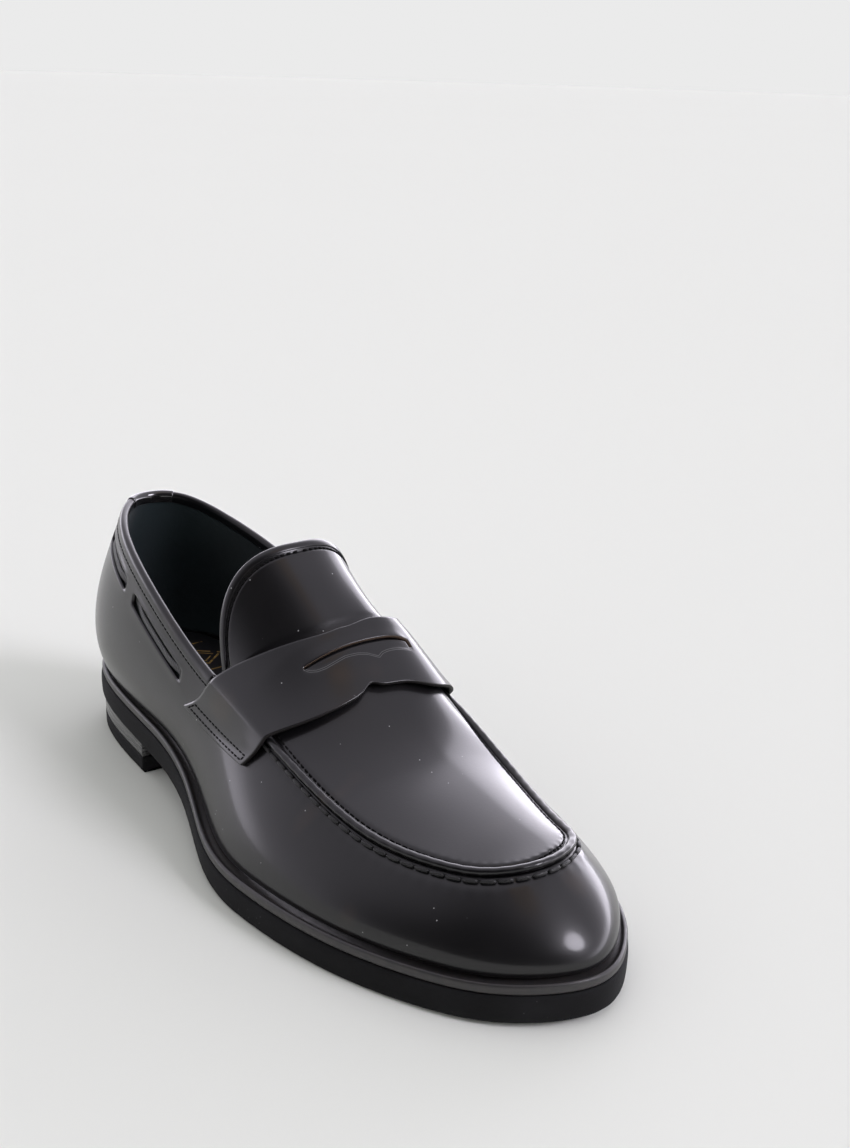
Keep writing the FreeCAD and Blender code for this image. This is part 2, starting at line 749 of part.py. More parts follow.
solid_piece("apron_outer_stitches", Part.makeCompound(
    stitch_row(lambda s: beside_seam(s, 3.6, on_leather), PIPING_START, PIPING_STOP, 5.4)))
inner_row = stitch_row(lambda s: beside_arch(s, 3.4, on_leather), PIPING_START, TOE - 0.9, 4.0)
inner_row += stitch_row(lambda s: beside_arch(s, 3.4, on_leather), TOE + 0.9, PIPING_STOP, 4.0)
solid_piece("apron_inner_stitches", Part.makeCompound(inner_row))
solid_piece("topline_stitches", Part.makeCompound(
    stitch_row(lambda s: beside_seam(s, 4.2, on_leather), STRAP_INNER - COUNT, STRAP_OUTER, 2.8)))
solid_piece("medial_seam_stitches", Part.makeCompound(
    [piece for offset in (0.03, 0.08) for piece in
     stitch_row(lambda v: wall_lifted(SEAM + offset, v, on_leather), 0.1, 0.5, 2.8)]))


def end_rows(side):
    """Two stitch rows that sew down one end of the strap."""
    rows = []
    _, front, _, rear = STRAP[0] if side < 0 else STRAP[-1]
    for inset in (0.05, 0.15):
        def point(part, inset=inset):
            w = side * (1.30 + 0.12 * part - inset)
            lift = strap_lift(w) + size("strap_thick") + on_leather
            return skin_lifted(front + (rear - front) * part, w, lift)

        rows += stitch_row(point, 0.06, 0.94, 3.0)
    return Part.makeCompound(rows)


solid_piece("saddle_stitches_lateral", end_rows(-1))
solid_piece("saddle_stitches_medial", end_rows(1))


def tongue_row(across):
    """Point of the stitch row inside the tongue's bead."""
    run = (tongue_surface(1, across) - tongue_surface(0, across)).Length
    return tongue_lifted(1 - 4.2 / run, across, on_leather)


solid_piece("tongue_stitches", Part.makeCompound(stitch_row(tongue_row, -0.74, 0.74, 2.6)))

# ---------------------------------------------------------------- check and write
doc.recompute()
for item in doc.Objects:
    if "Invalid" in item.State or "Error" in item.State:
        raise RuntimeError(f"{item.Name} failed: {item.State}")
for name in names:
    item = doc.getObject(name)
    if item.Shape.isNull() or not item.Shape.isValid() or item.Shape.Volume <= 0:
        raise RuntimeError(f"{item.Label} has no valid shape")
for name in names:
    item = doc.getObject(name)
    item.Shape.exportStep(f"parts/{item.Label}.step")
    box = item.Shape.BoundBox
    print(f"{item.Label:26s} {item.Shape.Volume / 1000:9.2f} cm3  x {box.XMin:7.1f} {box.XMax:7.1f}"
          f"  y {box.YMin:6.1f} {box.YMax:6.1f}  z {box.ZMin:6.2f} {box.ZMax:6.1f}")
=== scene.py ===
"""A penny loafer for the right foot, dressed over its CAD frame.

Shapes are worked out in millimetres on the same last as the CAD model and written in metres.
"""
import math

import bmesh
import bpy
import numpy as np
from mathutils import Matrix, Vector


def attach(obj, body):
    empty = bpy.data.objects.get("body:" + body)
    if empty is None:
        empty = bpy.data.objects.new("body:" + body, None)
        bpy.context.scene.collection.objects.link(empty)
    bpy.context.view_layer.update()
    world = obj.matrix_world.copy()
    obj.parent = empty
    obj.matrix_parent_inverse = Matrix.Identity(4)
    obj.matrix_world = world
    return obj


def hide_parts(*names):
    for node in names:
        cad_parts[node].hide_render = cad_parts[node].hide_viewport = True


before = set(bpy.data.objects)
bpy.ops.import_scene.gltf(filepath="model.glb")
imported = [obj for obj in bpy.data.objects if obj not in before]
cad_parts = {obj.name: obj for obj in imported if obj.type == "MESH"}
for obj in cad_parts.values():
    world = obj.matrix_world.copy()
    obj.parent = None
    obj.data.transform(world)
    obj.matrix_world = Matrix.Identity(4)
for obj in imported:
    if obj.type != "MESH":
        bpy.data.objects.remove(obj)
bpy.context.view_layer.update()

MM = 0.001
scene = bpy.context.scene

# ---- camera
# A short telephoto lens above the outer side of the toe, looking down along the shoe, with the slight
# tilt of a hand-held camera.
eye = Vector((0.4413, -0.2974, 0.2933))
ahead = Vector((-0.7417, 0.5826, -0.3322)).normalized()
level = ahead.cross(Vector((0, 0, 1))).normalized()
tilt = Matrix.Rotation(math.radians(1.717), 3, -ahead)
right = tilt @ level
above = right.cross(ahead)
lens = bpy.data.cameras.new("camera")
lens.lens = 48.6
lens.sensor_width = 36.0
lens.clip_start = 0.01
camera = bpy.data.objects.new("camera", lens)
camera.matrix_world = Matrix((right, above, -ahead)).transposed().to_4x4()
camera.location = eye
scene.collection.objects.link(camera)
scene.camera = camera


# ---- studio
# A pale seamless floor in a white room with a wide window at the back, which throws soft shadows towards
# the camera. Polished leather mirrors the walls: bright at the window, dark behind the camera.
class Flow:
    """A socket of a material; sums and products of flows add the Math nodes they need."""

    def __init__(self, tree, socket=None):
        self.tree = tree
        self.socket = socket

    def node(self, kind, inputs=None, out=0, stops=None, **settings):
        """A node of any type with its settings, the values or links of its sockets, and one output."""
        made = self.tree.nodes.new(kind)
        for name, value in settings.items():
            setattr(made, name, value)
        if stops:
            while len(made.color_ramp.elements) < len(stops):
                made.color_ramp.elements.new(1.0)
            for element, (place, colour) in zip(made.color_ramp.elements, stops):
                element.position = place
                element.color = colour
        for name, value in (inputs or {}).items():
            if isinstance(value, Flow):
                self.tree.links.new(value.socket, made.inputs[name])
            else:
                made.inputs[name].default_value = value
        return Flow(self.tree, made.outputs[out])

    def maths(self, operation, first, second=0.0):
        return self.node("ShaderNodeMath", {0: first, 1: second}, operation=operation)

    def size(self):
        return self.maths("ABSOLUTE", self)

    def rise(self, low, high):
        """0 below low and 1 above high, with a smooth step between them."""
        return self.node("ShaderNodeMapRange", {"Value": self, "From Min": low, "From Max": high},
                         interpolation_type="SMOOTHSTEP")

    def tint(self, first, second):
        """Colour that goes from the first to the second as this flow goes from 0 to 1."""
        return self.node("ShaderNodeMix", {"Factor": self, 6: first, 7: second}, out=2, data_type="RGBA")

    def noise(self, place, scale, detail=2.0):
        return self.node("ShaderNodeTexNoise", {"Vector": place, "Scale": scale, "Detail": detail})

    def cells(self, place, scale):
        return self.node("ShaderNodeTexVoronoi", {"Vector": place, "Scale": scale}, out="Distance")

    def part(self, axis):
        return self.node("ShaderNodeSeparateXYZ", {0: self}, out=axis)

    def place(self):
        return self.node("ShaderNodeTexCoord", out="Object")


for sign, operation in (("add", "ADD"), ("sub", "SUBTRACT"), ("mul", "MULTIPLY")):
    setattr(Flow, f"__{sign}__", lambda flow, other, work=operation: flow.maths(work, flow, other))
    setattr(Flow, f"__r{sign}__", lambda flow, other, work=operation: flow.maths(work, other, flow))


def finish(name, paint, **constants):
    """A material: paint returns the sockets that vary, and the constants go on the shader itself."""
    made = bpy.data.materials.new(name)
    made.use_nodes = True
    shader = made.node_tree.nodes["Principled BSDF"]
    for socket, value in constants.items():
        shader.inputs[socket.replace("_", " ")].default_value = value
    for socket, value in paint(Flow(made.node_tree)).items():
        made.node_tree.links.new(value.socket, shader.inputs[socket])
    return made


def relief(start, height, depth):
    """Normal of a fine relief whose height runs from 0 to 1 over a depth in millimetres."""
    return start.node("ShaderNodeBump", {"Height": height, "Distance": depth * MM, "Strength": 1.0})


def floor_paint(start):
    cloud = start.noise(start.place(), 1.5, 1.0)
    return {"Base Color": cloud.tint((0.764, 0.773, 0.733, 1), (0.772, 0.781, 0.741, 1))}


FLOOR_RADIUS = 9.0
floor_shape = bmesh.new()
bmesh.ops.create_circle(floor_shape, cap_ends=True, cap_tris=True, segments=96, radius=FLOOR_RADIUS)
floor_mesh = bpy.data.meshes.new("floor")
floor_shape.to_mesh(floor_mesh)
floor_shape.free()
floor_mesh.materials.append(finish("studio_floor", floor_paint, Roughness=0.9, Specular_IOR_Level=0.0))
floor = bpy.data.objects.new("floor", floor_mesh)
scene.collection.objects.link(floor)

room = bpy.data.worlds.new("room")
room.use_nodes = True
scene.world = room
room_start = Flow(room.node_tree)
direction = room_start.node("ShaderNodeTexCoord", out="Generated")


def aimed(x, y, z):
    """Cosine of the angle between the direction looked at and a fixed one."""
    fixed = Vector((x, y, z)).normalized()
    return room_start.node("ShaderNodeVectorMath", {0: direction, 1: fixed}, out="Value", operation="DOT_PRODUCT")


ROOM_FILL = (0.70, 0.70, 0.71, 1)
BACKDROP = (0.83, 0.83, 0.83, 1)
WALL_TINT = (0.93, 0.895, 1.0, 1)
BEAM_TINT = (1.0, 0.72, 0.50, 1)
# what polished leather mirrors: the dark side with the camera, the window with its bright sill, the far
# wall, a small lamp over the toe and a wooden beam overhead
dark_side = aimed(0.61, -0.73, 0.31).rise(0.36, 0.80)
window = aimed(0.0, 1.0, 0.0).rise(-0.2, 0.9) * (1 - aimed(0.717, 0.0, 0.697).rise(0.08, 0.22))
toe_lamp = aimed(0.740, 0.317, 0.593).rise(0.973, 0.991)
far_wall = aimed(-0.97, -0.2, 0.02).rise(0.80, 0.97) * (1 - aimed(0.0, 0.0, 1.0).rise(0.05, 0.22))
ceiling_beam = aimed(0.28, 0.02, 0.96).rise(0.984, 0.996)
sill = aimed(0.0, 1.0, 0.0).rise(0.3, 0.9) * (1 - aimed(0.0, 0.0, 1.0).rise(0.08, 0.24))
light = (1 - dark_side * 0.97) * 0.90 + window * 2.9 + sill * 4.0 + far_wall * 3.6 + toe_lamp * 15.0
tinted = (ceiling_beam * 0.8).tint(WALL_TINT, BEAM_TINT)
walls = room_start.node("ShaderNodeVectorMath", {0: tinted, "Scale": light}, operation="SCALE")
soft_fill = room_start.node("ShaderNodeLightPath", out="Is Diffuse Ray")
seen = room_start.node("ShaderNodeLightPath", out="Is Camera Ray")
# lit surfaces get an even pale room, polished ones mirror its walls, and the view shows the backdrop
colour = seen.tint(soft_fill.tint(walls, ROOM_FILL), BACKDROP)
room.node_tree.links.new(colour.socket, room.node_tree.nodes["Background"].inputs["Color"])
scene.view_settings.view_transform = "Standard"

# ---- outsole
# One moulded black rubber unit that runs the whole length, curved up at the waist and a little at the
# toe, with a trimmed side and a slightly ragged lower edge. The upper is cemented to it.
OUTLINE = [(-151.8, 4.0, 6.0), (-144.4, -16.6, 7.0), (-117.0, -28.0, 7.0), (-78.5, -33.1, 5.0),
           (-34.5, -40.0, 3.0), (4.5, -53.1, 2.2), (39.5, -56.4, 4.0), (79.5, -50.7, 5.6),
           (115.5, -37.7, 6.0), (138.8, -21.4, 6.0), (151.5, 4.2, 6.0), (141.6, 26.6, 5.6),
           (120.0, 43.8, 5.6), (85.5, 55.8, 5.6), (50.5, 56.3, 4.0), (15.5, 46.3, 4.0),
           (-30.0, 32.3, 4.0), (-70.1, 33.0, 5.0), (-118.1, 37.0, 6.0), (-143.5, 24.1, 6.5)]
COUNT = len(OUTLINE)


def spline(points, closed=False):
    """Smooth curve through points at whole-number places, as a function of an array of places."""
    points = np.asarray(points, float)
    count = len(points)
    matrix = np.eye(count)
    right_side = np.zeros_like(points)
    for i in range(0 if closed else 1, count if closed else count - 1):
        after = (i + 1) % count
        matrix[i, [i - 1, i, after]] = (1, 4, 1)
        right_side[i] = 6 * (points[after] - 2 * points[i] + points[i - 1])
    bend = np.linalg.solve(matrix, right_side)

    def value(place):
        place = np.asarray(place, float)
        place = place % count if closed else np.clip(place, 0, count - 1)
        low = np.minimum(place.astype(int), count - 1 if closed else count - 2)
        high = (low + 1) % count
        near = (place - low)[..., None]
        far = 1 - near
        return (far * points[low] + near * points[high]
                + ((far ** 3 - far) * bend[low] + (near ** 3 - near) * bend[high]) / 6)

    return value


edge = spline(OUTLINE, closed=True)


def fade(value, start, stop):
    """Smooth step from 0 at start to 1 at stop."""
    part = np.clip((value - start) / (stop - start), 0.0, 1.0)
    return part * part * (3 - 2 * part)


def lift_up(x, y, z):
    """Array of points from three arrays or numbers."""
    return np.stack(np.broadcast_arrays(x, y, z), axis=-1)


def outward(s):
    """Level direction away from the shoe at a station."""
    along = edge(s + 0.01) - edge(s - 0.01)
    away = lift_up(along[..., 1], -along[..., 0], 0.0)
    return away / np.linalg.norm(away, axis=-1, keepdims=True)


def edge_point(s, margin):
    """Sole outline at a station, moved in by a margin."""
    rim = edge(s)
    return lift_up(rim[..., 0], rim[..., 1], 0.0) - outward(s) * np.asarray(margin, float)[..., None]


def underside(x):
    """Height of the rubber's underside: heel seat, waist, flat tread and toe spring."""
    waist = 6.6 * (1 + np.cos(np.pi * (x + 72.0) / 102.0))
    spring = 2.6 * (np.maximum(x - 75.0, 0.0) / 80.0) ** 2
    return np.where(x < -72.0, 13.2 - (x + 72.0) * 0.026, np.where(x < 30.0, waist, spring))


def sheet(places_a, places_b, place):
    """A grid bent into shape: place takes two arrays and returns points in millimetres."""
    shape = bmesh.new()
    bmesh.ops.create_grid(shape, x_segments=len(places_a) - 1, y_segments=len(places_b) - 1, size=0.5)
    column = [round((v.co.x + 0.5) * (len(places_a) - 1)) for v in shape.verts]
    row = [round((v.co.y + 0.5) * (len(places_b) - 1)) for v in shape.verts]
    points = place(np.asarray(places_a, float)[column], np.asarray(places_b, float)[row]) * MM
    map_layer = shape.loops.layers.uv.new("UVMap")
    for face in shape.faces:
        for corner in face.loops:
            corner[map_layer].uv = (corner.vert.co.x + 0.5, corner.vert.co.y + 0.5)
    for vert, point in zip(shape.verts, points):
        vert.co = point
    return shape


def close_up(shape):
    """Merges the seams of a closed shape and turns its faces outwards."""
    bmesh.ops.remove_doubles(shape, verts=shape.verts, dist=0.004 * MM)
    open_edges = [e for e in shape.edges if e.is_boundary]
    if open_edges:
        bmesh.ops.holes_fill(shape, edges=open_edges)
    bmesh.ops.recalc_face_normals(shape, faces=shape.faces)
    return shape


def piece(name, shape, material, replaced, body="shoe", thick=0.0, levels=1, crease=0.0, raw_edge=None):
    """Puts a finished shape on its body; thick gives a sheet its leather on the inner side."""
    mesh = bpy.data.meshes.new(name)
    shape.to_mesh(mesh)
    shape.free()
    mesh.materials.append(material)
    if raw_edge:
        mesh.materials.append(raw_edge)
    for face in mesh.polygons:
        face.use_smooth = True
    made = bpy.data.objects.new(name, mesh)
    scene.collection.objects.link(made)
    if thick:
        wall_maker = made.modifiers.new("leather", "SOLIDIFY")
        wall_maker.thickness = thick * MM
        wall_maker.offset = -1.0
        wall_maker.use_even_offset = False
        wall_maker.edge_crease_inner = crease
        wall_maker.edge_crease_outer = crease
        wall_maker.material_offset_rim = 1 if raw_edge else 0
    if levels:
        smoother = made.modifiers.new("smooth", "SUBSURF")
        smoother.levels = levels
        smoother.render_levels = levels
    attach(made, body)
    if replaced:
        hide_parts(*replaced)
    return made


def around(margin, count=300):
    """Plan of the sole's rim, moved in by a margin."""
    return edge_point(np.arange(count) * COUNT / count, np.full(count, float(margin)))[:, :2]


def rings(plan, profile, low, high, to_middle=True):
    """Closed shape of rings over a plan. Each profile entry is a margin and a share of the way from the
    low to the high surface; the first and last ring close on the middle line."""
    loops = [plan(margin) for margin, _ in profile]
    shares = [share for _, share in profile]
    if to_middle:
        loops = [None] + loops + [None]
        shares = [shares[0]] + shares + [shares[-1]]
    else:
        loops.append(loops[0])
        shares.append(shares[0])
    count = len(plan(0.0))
    mirrored = (-np.arange(count)) % count
    for i, beside in ((0, 1), (-1, -2)):
        if loops[i] is None:
            middle = 0.5 * (loops[beside] + loops[beside][mirrored])
            centre = middle.mean(axis=0)
            loops[i] = centre + (middle - centre) * np.array([0.86, 1.0])
    loops = np.stack(loops)
    shares = np.array(shares)

    def place(turn, ring):
        ring = ring.astype(int)
        flat = loops[ring, turn.astype(int) % count]
        x = flat[:, 0]
        return lift_up(x, flat[:, 1], low(x) + (high(x) - low(x)) * shares[ring])

    return close_up(sheet(np.arange(count + 1), np.arange(len(shares)), place))


def over_sole(x):
    """A surface one millimetre over the underside, so that shares are millimetres."""
    return underside(x) + 1.0


def ragged(shape, low, high, amount, pitch):
    """Roughens the part of a shape between two heights over the underside."""
    for vert in shape.verts:
        x, y, z = vert.co / MM
        over = z - float(underside(x))
        if low <= over <= high:
            wave = math.sin(x / pitch + 1.7 * y / pitch) * math.sin(2.3 * y / pitch - 0.7 * x / pitch + 1.0)
            vert.co.z += amount * wave * MM
            vert.co += Vector((math.sin(3.1 * x / pitch), math.cos(2.9 * y / pitch), 0)) * amount * 0.4 * MM


def rubber_paint(start):
    place = start.place()
    grit = start.noise(place, 1400.0, 3.0)
    smear = start.noise(place, 45.0, 3.0)
    speck = start.cells(place, 420.0)
    pale = (1 - speck.rise(0.05, 0.11)) * smear.rise(0.45, 0.7)
    black = smear.rise(0.3, 0.75).tint((0.0050, 0.0050, 0.0055, 1), (0.011, 0.011, 0.012, 1))
    return {"Base Color": (pale * 0.6).tint(black, (0.13, 0.13, 0.13, 1)),
            "Roughness": 0.62 + smear * 0.25, "Normal": relief(start, grit, 0.10)}


outsole_rubber = finish("outsole_rubber", rubber_paint, Specular_IOR_Level=0.16)
# margin from the outline and height over the underside, from the bottom to the top
SOLE_SIDE = [(14.0, 0.0), (5.0, 0.0), (1.4, 0.02), (0.45, 0.25), (0.12, 0.9), (0.0, 2.0), (-0.1, 4.0),
             (-0.15, 6.0), (-0.1, 8.0), (0.1, 9.2), (0.5, 9.8), (1.0, 10.0), (6.0, 10.0), (14.0, 10.0)]
outsole = rings(lambda margin: around(margin, 420), SOLE_SIDE, underside, over_sole)
ragged(outsole, 0.01, 1.2, 0.11, 0.8)
piece("outsole_unit", outsole, outsole_rubber, ["outsole"])

# ---- welt
# A leather-board strip on top of the rubber: satin trimmed edge with a fine upper lip, and a dark
# channel where it runs under the upper.
WELT_TOP = 13.8


def welt_paint(start):
    place = start.place()
    fibre = start.noise(place, 320.0, 4.0)
    cloud = start.noise(place, 28.0, 2.0)
    grey = cloud.tint((0.020, 0.018, 0.018, 1), (0.036, 0.032, 0.031, 1))
    return {"Base Color": fibre.rise(0.35, 0.7).tint(grey, (0.022, 0.021, 0.022, 1)),
            "Roughness": 0.34 + fibre * 0.16, "Normal": relief(start, fibre, 0.03)}


welt_edge = finish("welt_edge", welt_paint, Coat_Weight=0.15, Coat_Roughness=0.3)
WELT_SIDE = [(11.6, 10.1), (2.0, 10.1), (0.9, 10.15), (0.55, 10.5), (0.35, 11.4), (0.35, 12.6), (0.5, 13.3),
             (0.85, 13.75), (1.35, 13.85), (1.8, 13.7), (2.15, 13.2), (2.6, 12.75), (4.0, 12.7), (7.0, 12.9),
             (11.6, 13.6)]
piece("welt_strip", rings(lambda margin: around(margin, 360), WELT_SIDE, underside, over_sole, to_middle=False),
      welt_edge, ["welt"])

# ---- heel
# A low heel under the seat: a burnished block built of pressed lifts with fine lines between them, and
# a black rubber top piece on the ground, cut to a slightly hollow breast.
BREAST = -80.0
TOP_PIECE = 7.0
HEEL_REACH = 2.93
HEEL_INSET = 1.2


def heel_plan(margin, side=100, front=31):
    """Plan of the heel from the middle of the back, round the outer side, the breast and the inner side."""
    back = edge_point(np.linspace(0, HEEL_REACH, side), np.full(side, HEEL_INSET + margin))[:, :2]
    other = edge_point(np.linspace(COUNT - HEEL_REACH, COUNT, side), np.full(side, HEEL_INSET + margin))[:, :2]
    share = np.linspace(0, 1, front)[1:-1, None]
    breast = back[-1] + (other[0] - back[-1]) * share
    hollow = 4.0 * share[:, 0] * (1 - share[:, 0])
    middle = 0.5 * (back[-1, 0] + other[0, 0])
    breast[:, 0] += hollow * (BREAST - middle) - margin
    return np.concatenate([back, breast, other[:-1]])


def lifts(count):
    """Side of a stack with a shallow nick between its lifts, as margins and shares."""
    side = [(10.0, 0.0), (0.5, 0.0), (0.1, 0.03)]
    for i in range(1, count):
        share = i / count
        side += [(0.0, share - 0.022), (0.16, share), (0.0, share + 0.022)]
    return side + [(0.0, 0.97), (0.15, 1.0), (10.0, 1.0)]


def stack_paint(start):
    place = start.place()
    stretched = start.node("ShaderNodeMapping", {"Vector": place, "Scale": (30.0, 30.0, 1500.0)})
    lines = start.noise(stretched, 1.0, 3.0)
    cloud = start.noise(place, 60.0, 2.0)
    burnish = lines.rise(0.4, 0.65).tint((0.020, 0.020, 0.021, 1), (0.080, 0.077, 0.078, 1))
    return {"Base Color": (cloud * 0.4).tint(burnish, (0.020, 0.019, 0.020, 1)),
            "Roughness": 0.20 + lines * 0.18, "Normal": relief(start, lines, 0.05)}


stack_finish = finish("heel_stack", stack_paint, Coat_Weight=0.5, Coat_Roughness=0.15)
piece("heel_block_stack", rings(heel_plan, lifts(3), lambda x: TOP_PIECE + 0.02 + 0 * x,
                                lambda x: underside(x) - 0.01),
      stack_finish, ["heel_block"], levels=0)
TOP_PIECE_SIDE = [(10.0, 0.0), (1.0, 0.0), (0.35, 0.05), (0.05, 0.16), (0.0, 0.5), (0.0, 0.9), (0.2, 1.0),
                  (10.0, 1.0)]
piece("heel_top_lift", rings(heel_plan, TOP_PIECE_SIDE, lambda x: 0 * x, lambda x: TOP_PIECE - 0.05 + 0 * x),
      outsole_rubber, ["heel_top_piece"], levels=0)


# ---- inside the bottom
# Nails, steel shank, cork filler, fibre insole board and foam heel pad: all of them lie hidden between
# the outsole and the insock, so the CAD pieces stay and only get their real finish.
def plain_paint(first, second, scale, rough, depth):
    """Paint of a mottled raw material."""
    def paint(start):
        grain = start.noise(start.place(), scale, 4.0)
        return {"Base Color": grain.rise(0.3, 0.7).tint(first, second), "Roughness": rough + grain * 0.15,
                "Normal": relief(start, grain, depth)}

    return paint


HIDDEN = [("steel", ["heel_nails", "shank"], (0.55, 0.55, 0.57, 1), (0.42, 0.42, 0.44, 1), 900.0, 0.25, 0.02),
          ("filler_cork", ["bottom_filler"], (0.42, 0.26, 0.14, 1), (0.16, 0.09, 0.05, 1), 500.0, 0.75, 0.3),
          ("insole_fibre", ["insole_board"], (0.36, 0.27, 0.18, 1), (0.27, 0.20, 0.13, 1), 700.0, 0.7, 0.08),
          ("stiffener_fibre", ["toe_puff", "heel_counter"], (0.55, 0.50, 0.42, 1), (0.45, 0.40, 0.33, 1), 800.0,
           0.75, 0.08),
          ("pad_foam", ["heel_pad"], (0.75, 0.72, 0.62, 1), (0.62, 0.59, 0.50, 1), 1500.0, 0.8, 0.15)]
for material_name, node_names, first, second, scale, rough, depth in HIDDEN:
    material = finish(material_name, plain_paint(first, second, scale, rough, depth),
                      Metallic=float(material_name == "steel"))
    for node_name in node_names:
        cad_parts[node_name].data.materials.clear()
        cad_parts[node_name].data.materials.append(material)

# ---- insock
# A thin black leather sock glued over the insole board and the heel pad, with a rounded edge and a
# plain gilt ornament stamped at the heel.
INSOLE_TOP = WELT_TOP + 0.08 + 2.4


def insock_low(x):
    over_board = INSOLE_TOP + 0.05 + 0.4 * fade(-x, 50.0, 57.0)
    return underside(x) + over_board + 2.0 * fade(-x, 54.0, 80.0)


def insock_paint(start):
    place = start.place()
    grain = start.noise(place, 900.0, 3.0)
    # millimetres from the ornament's centre under the heel
    x = (place.part("X") + 0.106) * 1000.0
    y = (place.part("Y") - 0.010) * 1000.0
    diamond = (x.size() + y.size() * 0.8 - 8.0).size()
    inner = (x.size() + y.size() * 0.8 - 5.0).size()
    bars = ((x.size() - 14.0).size() * 2.0 + (y.size() - 9.0).rise(0.0, 1.0) * 20.0)
    gilt = 1 - diamond.rise(0.4, 0.8) * inner.rise(0.25, 0.5) * bars.rise(0.5, 1.0)
    worn = gilt * start.noise(place, 260.0, 2.0).rise(0.36, 0.5)
    return {"Base Color": worn.tint((0.010, 0.010, 0.012, 1), (0.34, 0.22, 0.07, 1)),
            "Roughness": 0.42 - worn * 0.1 + grain * 0.1, "Normal": relief(start, grain, 0.05)}


insock_leather = finish("insock_leather", insock_paint)
SOCK_SIDE = [(22.0, 0.0), (0.6, 0.0), (0.2, 0.25), (0.2, 0.75), (0.6, 1.0), (3.0, 1.0), (22.0, 1.0)]
piece("insock_sheet", rings(lambda margin: around(margin + 10.5, 220), SOCK_SIDE, insock_low,
                            lambda x: insock_low(x) + 1.0), insock_leather, ["insock"])

# ---- vamp and quarters
# Polished black calf, 1.4 mm thick, lasted over the foot and down to the welt. The outer quarter is
# cut in one with the vamp; the inner one is a piece of its own. Each side has two slots for the lace.
TOP_LINE = [(-139.6, 4.3, 100.0), (-133.5, -8.6, 99.6), (-112.0, -21.4, 94.3), (-76.5, -28.6, 81.8),
            (-38.0, -30.6, 66.4), (0.0, -31.6, 57.6), (38.0, -33.0, 49.8), (74.0, -30.3, 42.2),
            (101.5, -21.5, 40.6), (116.0, -11.0, 41.2), (122.6, 6.6, 42.4), (115.0, 24.4, 40.8),
            (100.5, 30.4, 39.8), (74.0, 37.8, 41.0), (44.0, 42.8, 47.4), (10.0, 43.4, 56.4),
            (-30.0, 37.6, 65.2), (-68.0, 37.4, 79.8), (-112.0, 29.0, 93.2), (-133.5, 17.2, 99.4)]
TOE = COUNT // 2
LEATHER = 1.4
SEAM = 15.78
STRAP_OUTER = 4.3
STRAP_INNER = 15.85
OUTER_WINDOWS = [(1.42, 2.5), (2.73, 3.8)]
INNER_WINDOWS = [(16.42, 17.42), (17.62, 18.68)]
WINDOW_WIDTH = 4.2
WINDOW_EASE = 0.35
# rows of the wall's grid: the slots' lower and upper edges and the top
LOW_ROW, HIGH_ROW, LAST_ROW = 18, 21, 27
top = spline(TOP_LINE, closed=True)


def from_heel(s):
    """Number of stations from the middle of the heel."""
    return np.minimum(s % COUNT, COUNT - s % COUNT)


def wall(s, v):
    """Wall of the upper: v is 0 on the welt and 1 on the topline or the apron seam."""
    foot = edge_point(s, 2.6 + 2.0 * fade(from_heel(s), 1.5, 5.0))
    foot[..., 2] = underside(foot[..., 0]) + WELT_TOP + 0.08
    swell = edge(s)[..., 2] * np.sin(np.pi * np.maximum(v, 0.0) ** 0.75)
    return foot + (top(s) - foot) * v[..., None] + outward(s) * swell[..., None]


def lifted(surface, a, b, lift, step_a=0.05, step_b=0.03):
    """Surface moved along its own normal by a lift."""
    across = surface(a, b + step_b) - surface(a, b - step_b)
    along = surface(a + step_a, b) - surface(a - step_a, b)
    away = np.cross(along, across)
    away /= np.linalg.norm(away, axis=-1, keepdims=True)
    return surface(a, b) + away * np.broadcast_to(lift, a.shape)[..., None]


def wall_lifted(s, v, lift):
    inside = np.clip(v, 0.03, 0.97)
    return lifted(wall, s, inside, lift) + wall(s, v) - wall(s, inside)


def wall_height(s):
    return np.linalg.norm(top(s) - wall(s, 0.0 * s), axis=-1)


def seam_length(start, stop, count=900):
    """Places along the top of the wall and the length run up to each."""
    places = np.linspace(start, stop, count)
    runs = np.linalg.norm(np.diff(top(places), axis=0), axis=1)
    return places, np.concatenate([[0.0], np.cumsum(runs)])


def window_middle(s):
    """v of the middle of the lace slots."""
    return 1 - (9.2 + 2.6 * fade(from_heel(s), 0.8, 3.4)) / wall_height(s)


def graded(breaks, counts):
    """Places that hit every break, with a number of steps between each two."""
    spans = [np.linspace(a, b, n, endpoint=False) for a, b, n in zip(breaks, breaks[1:], counts)]
    return np.concatenate(spans + [[breaks[-1]]])


seam_places, seam_run = seam_length(0.0, COUNT)
STITCH_PITCH = 5.4
PIPING = (5.42, 15.2)


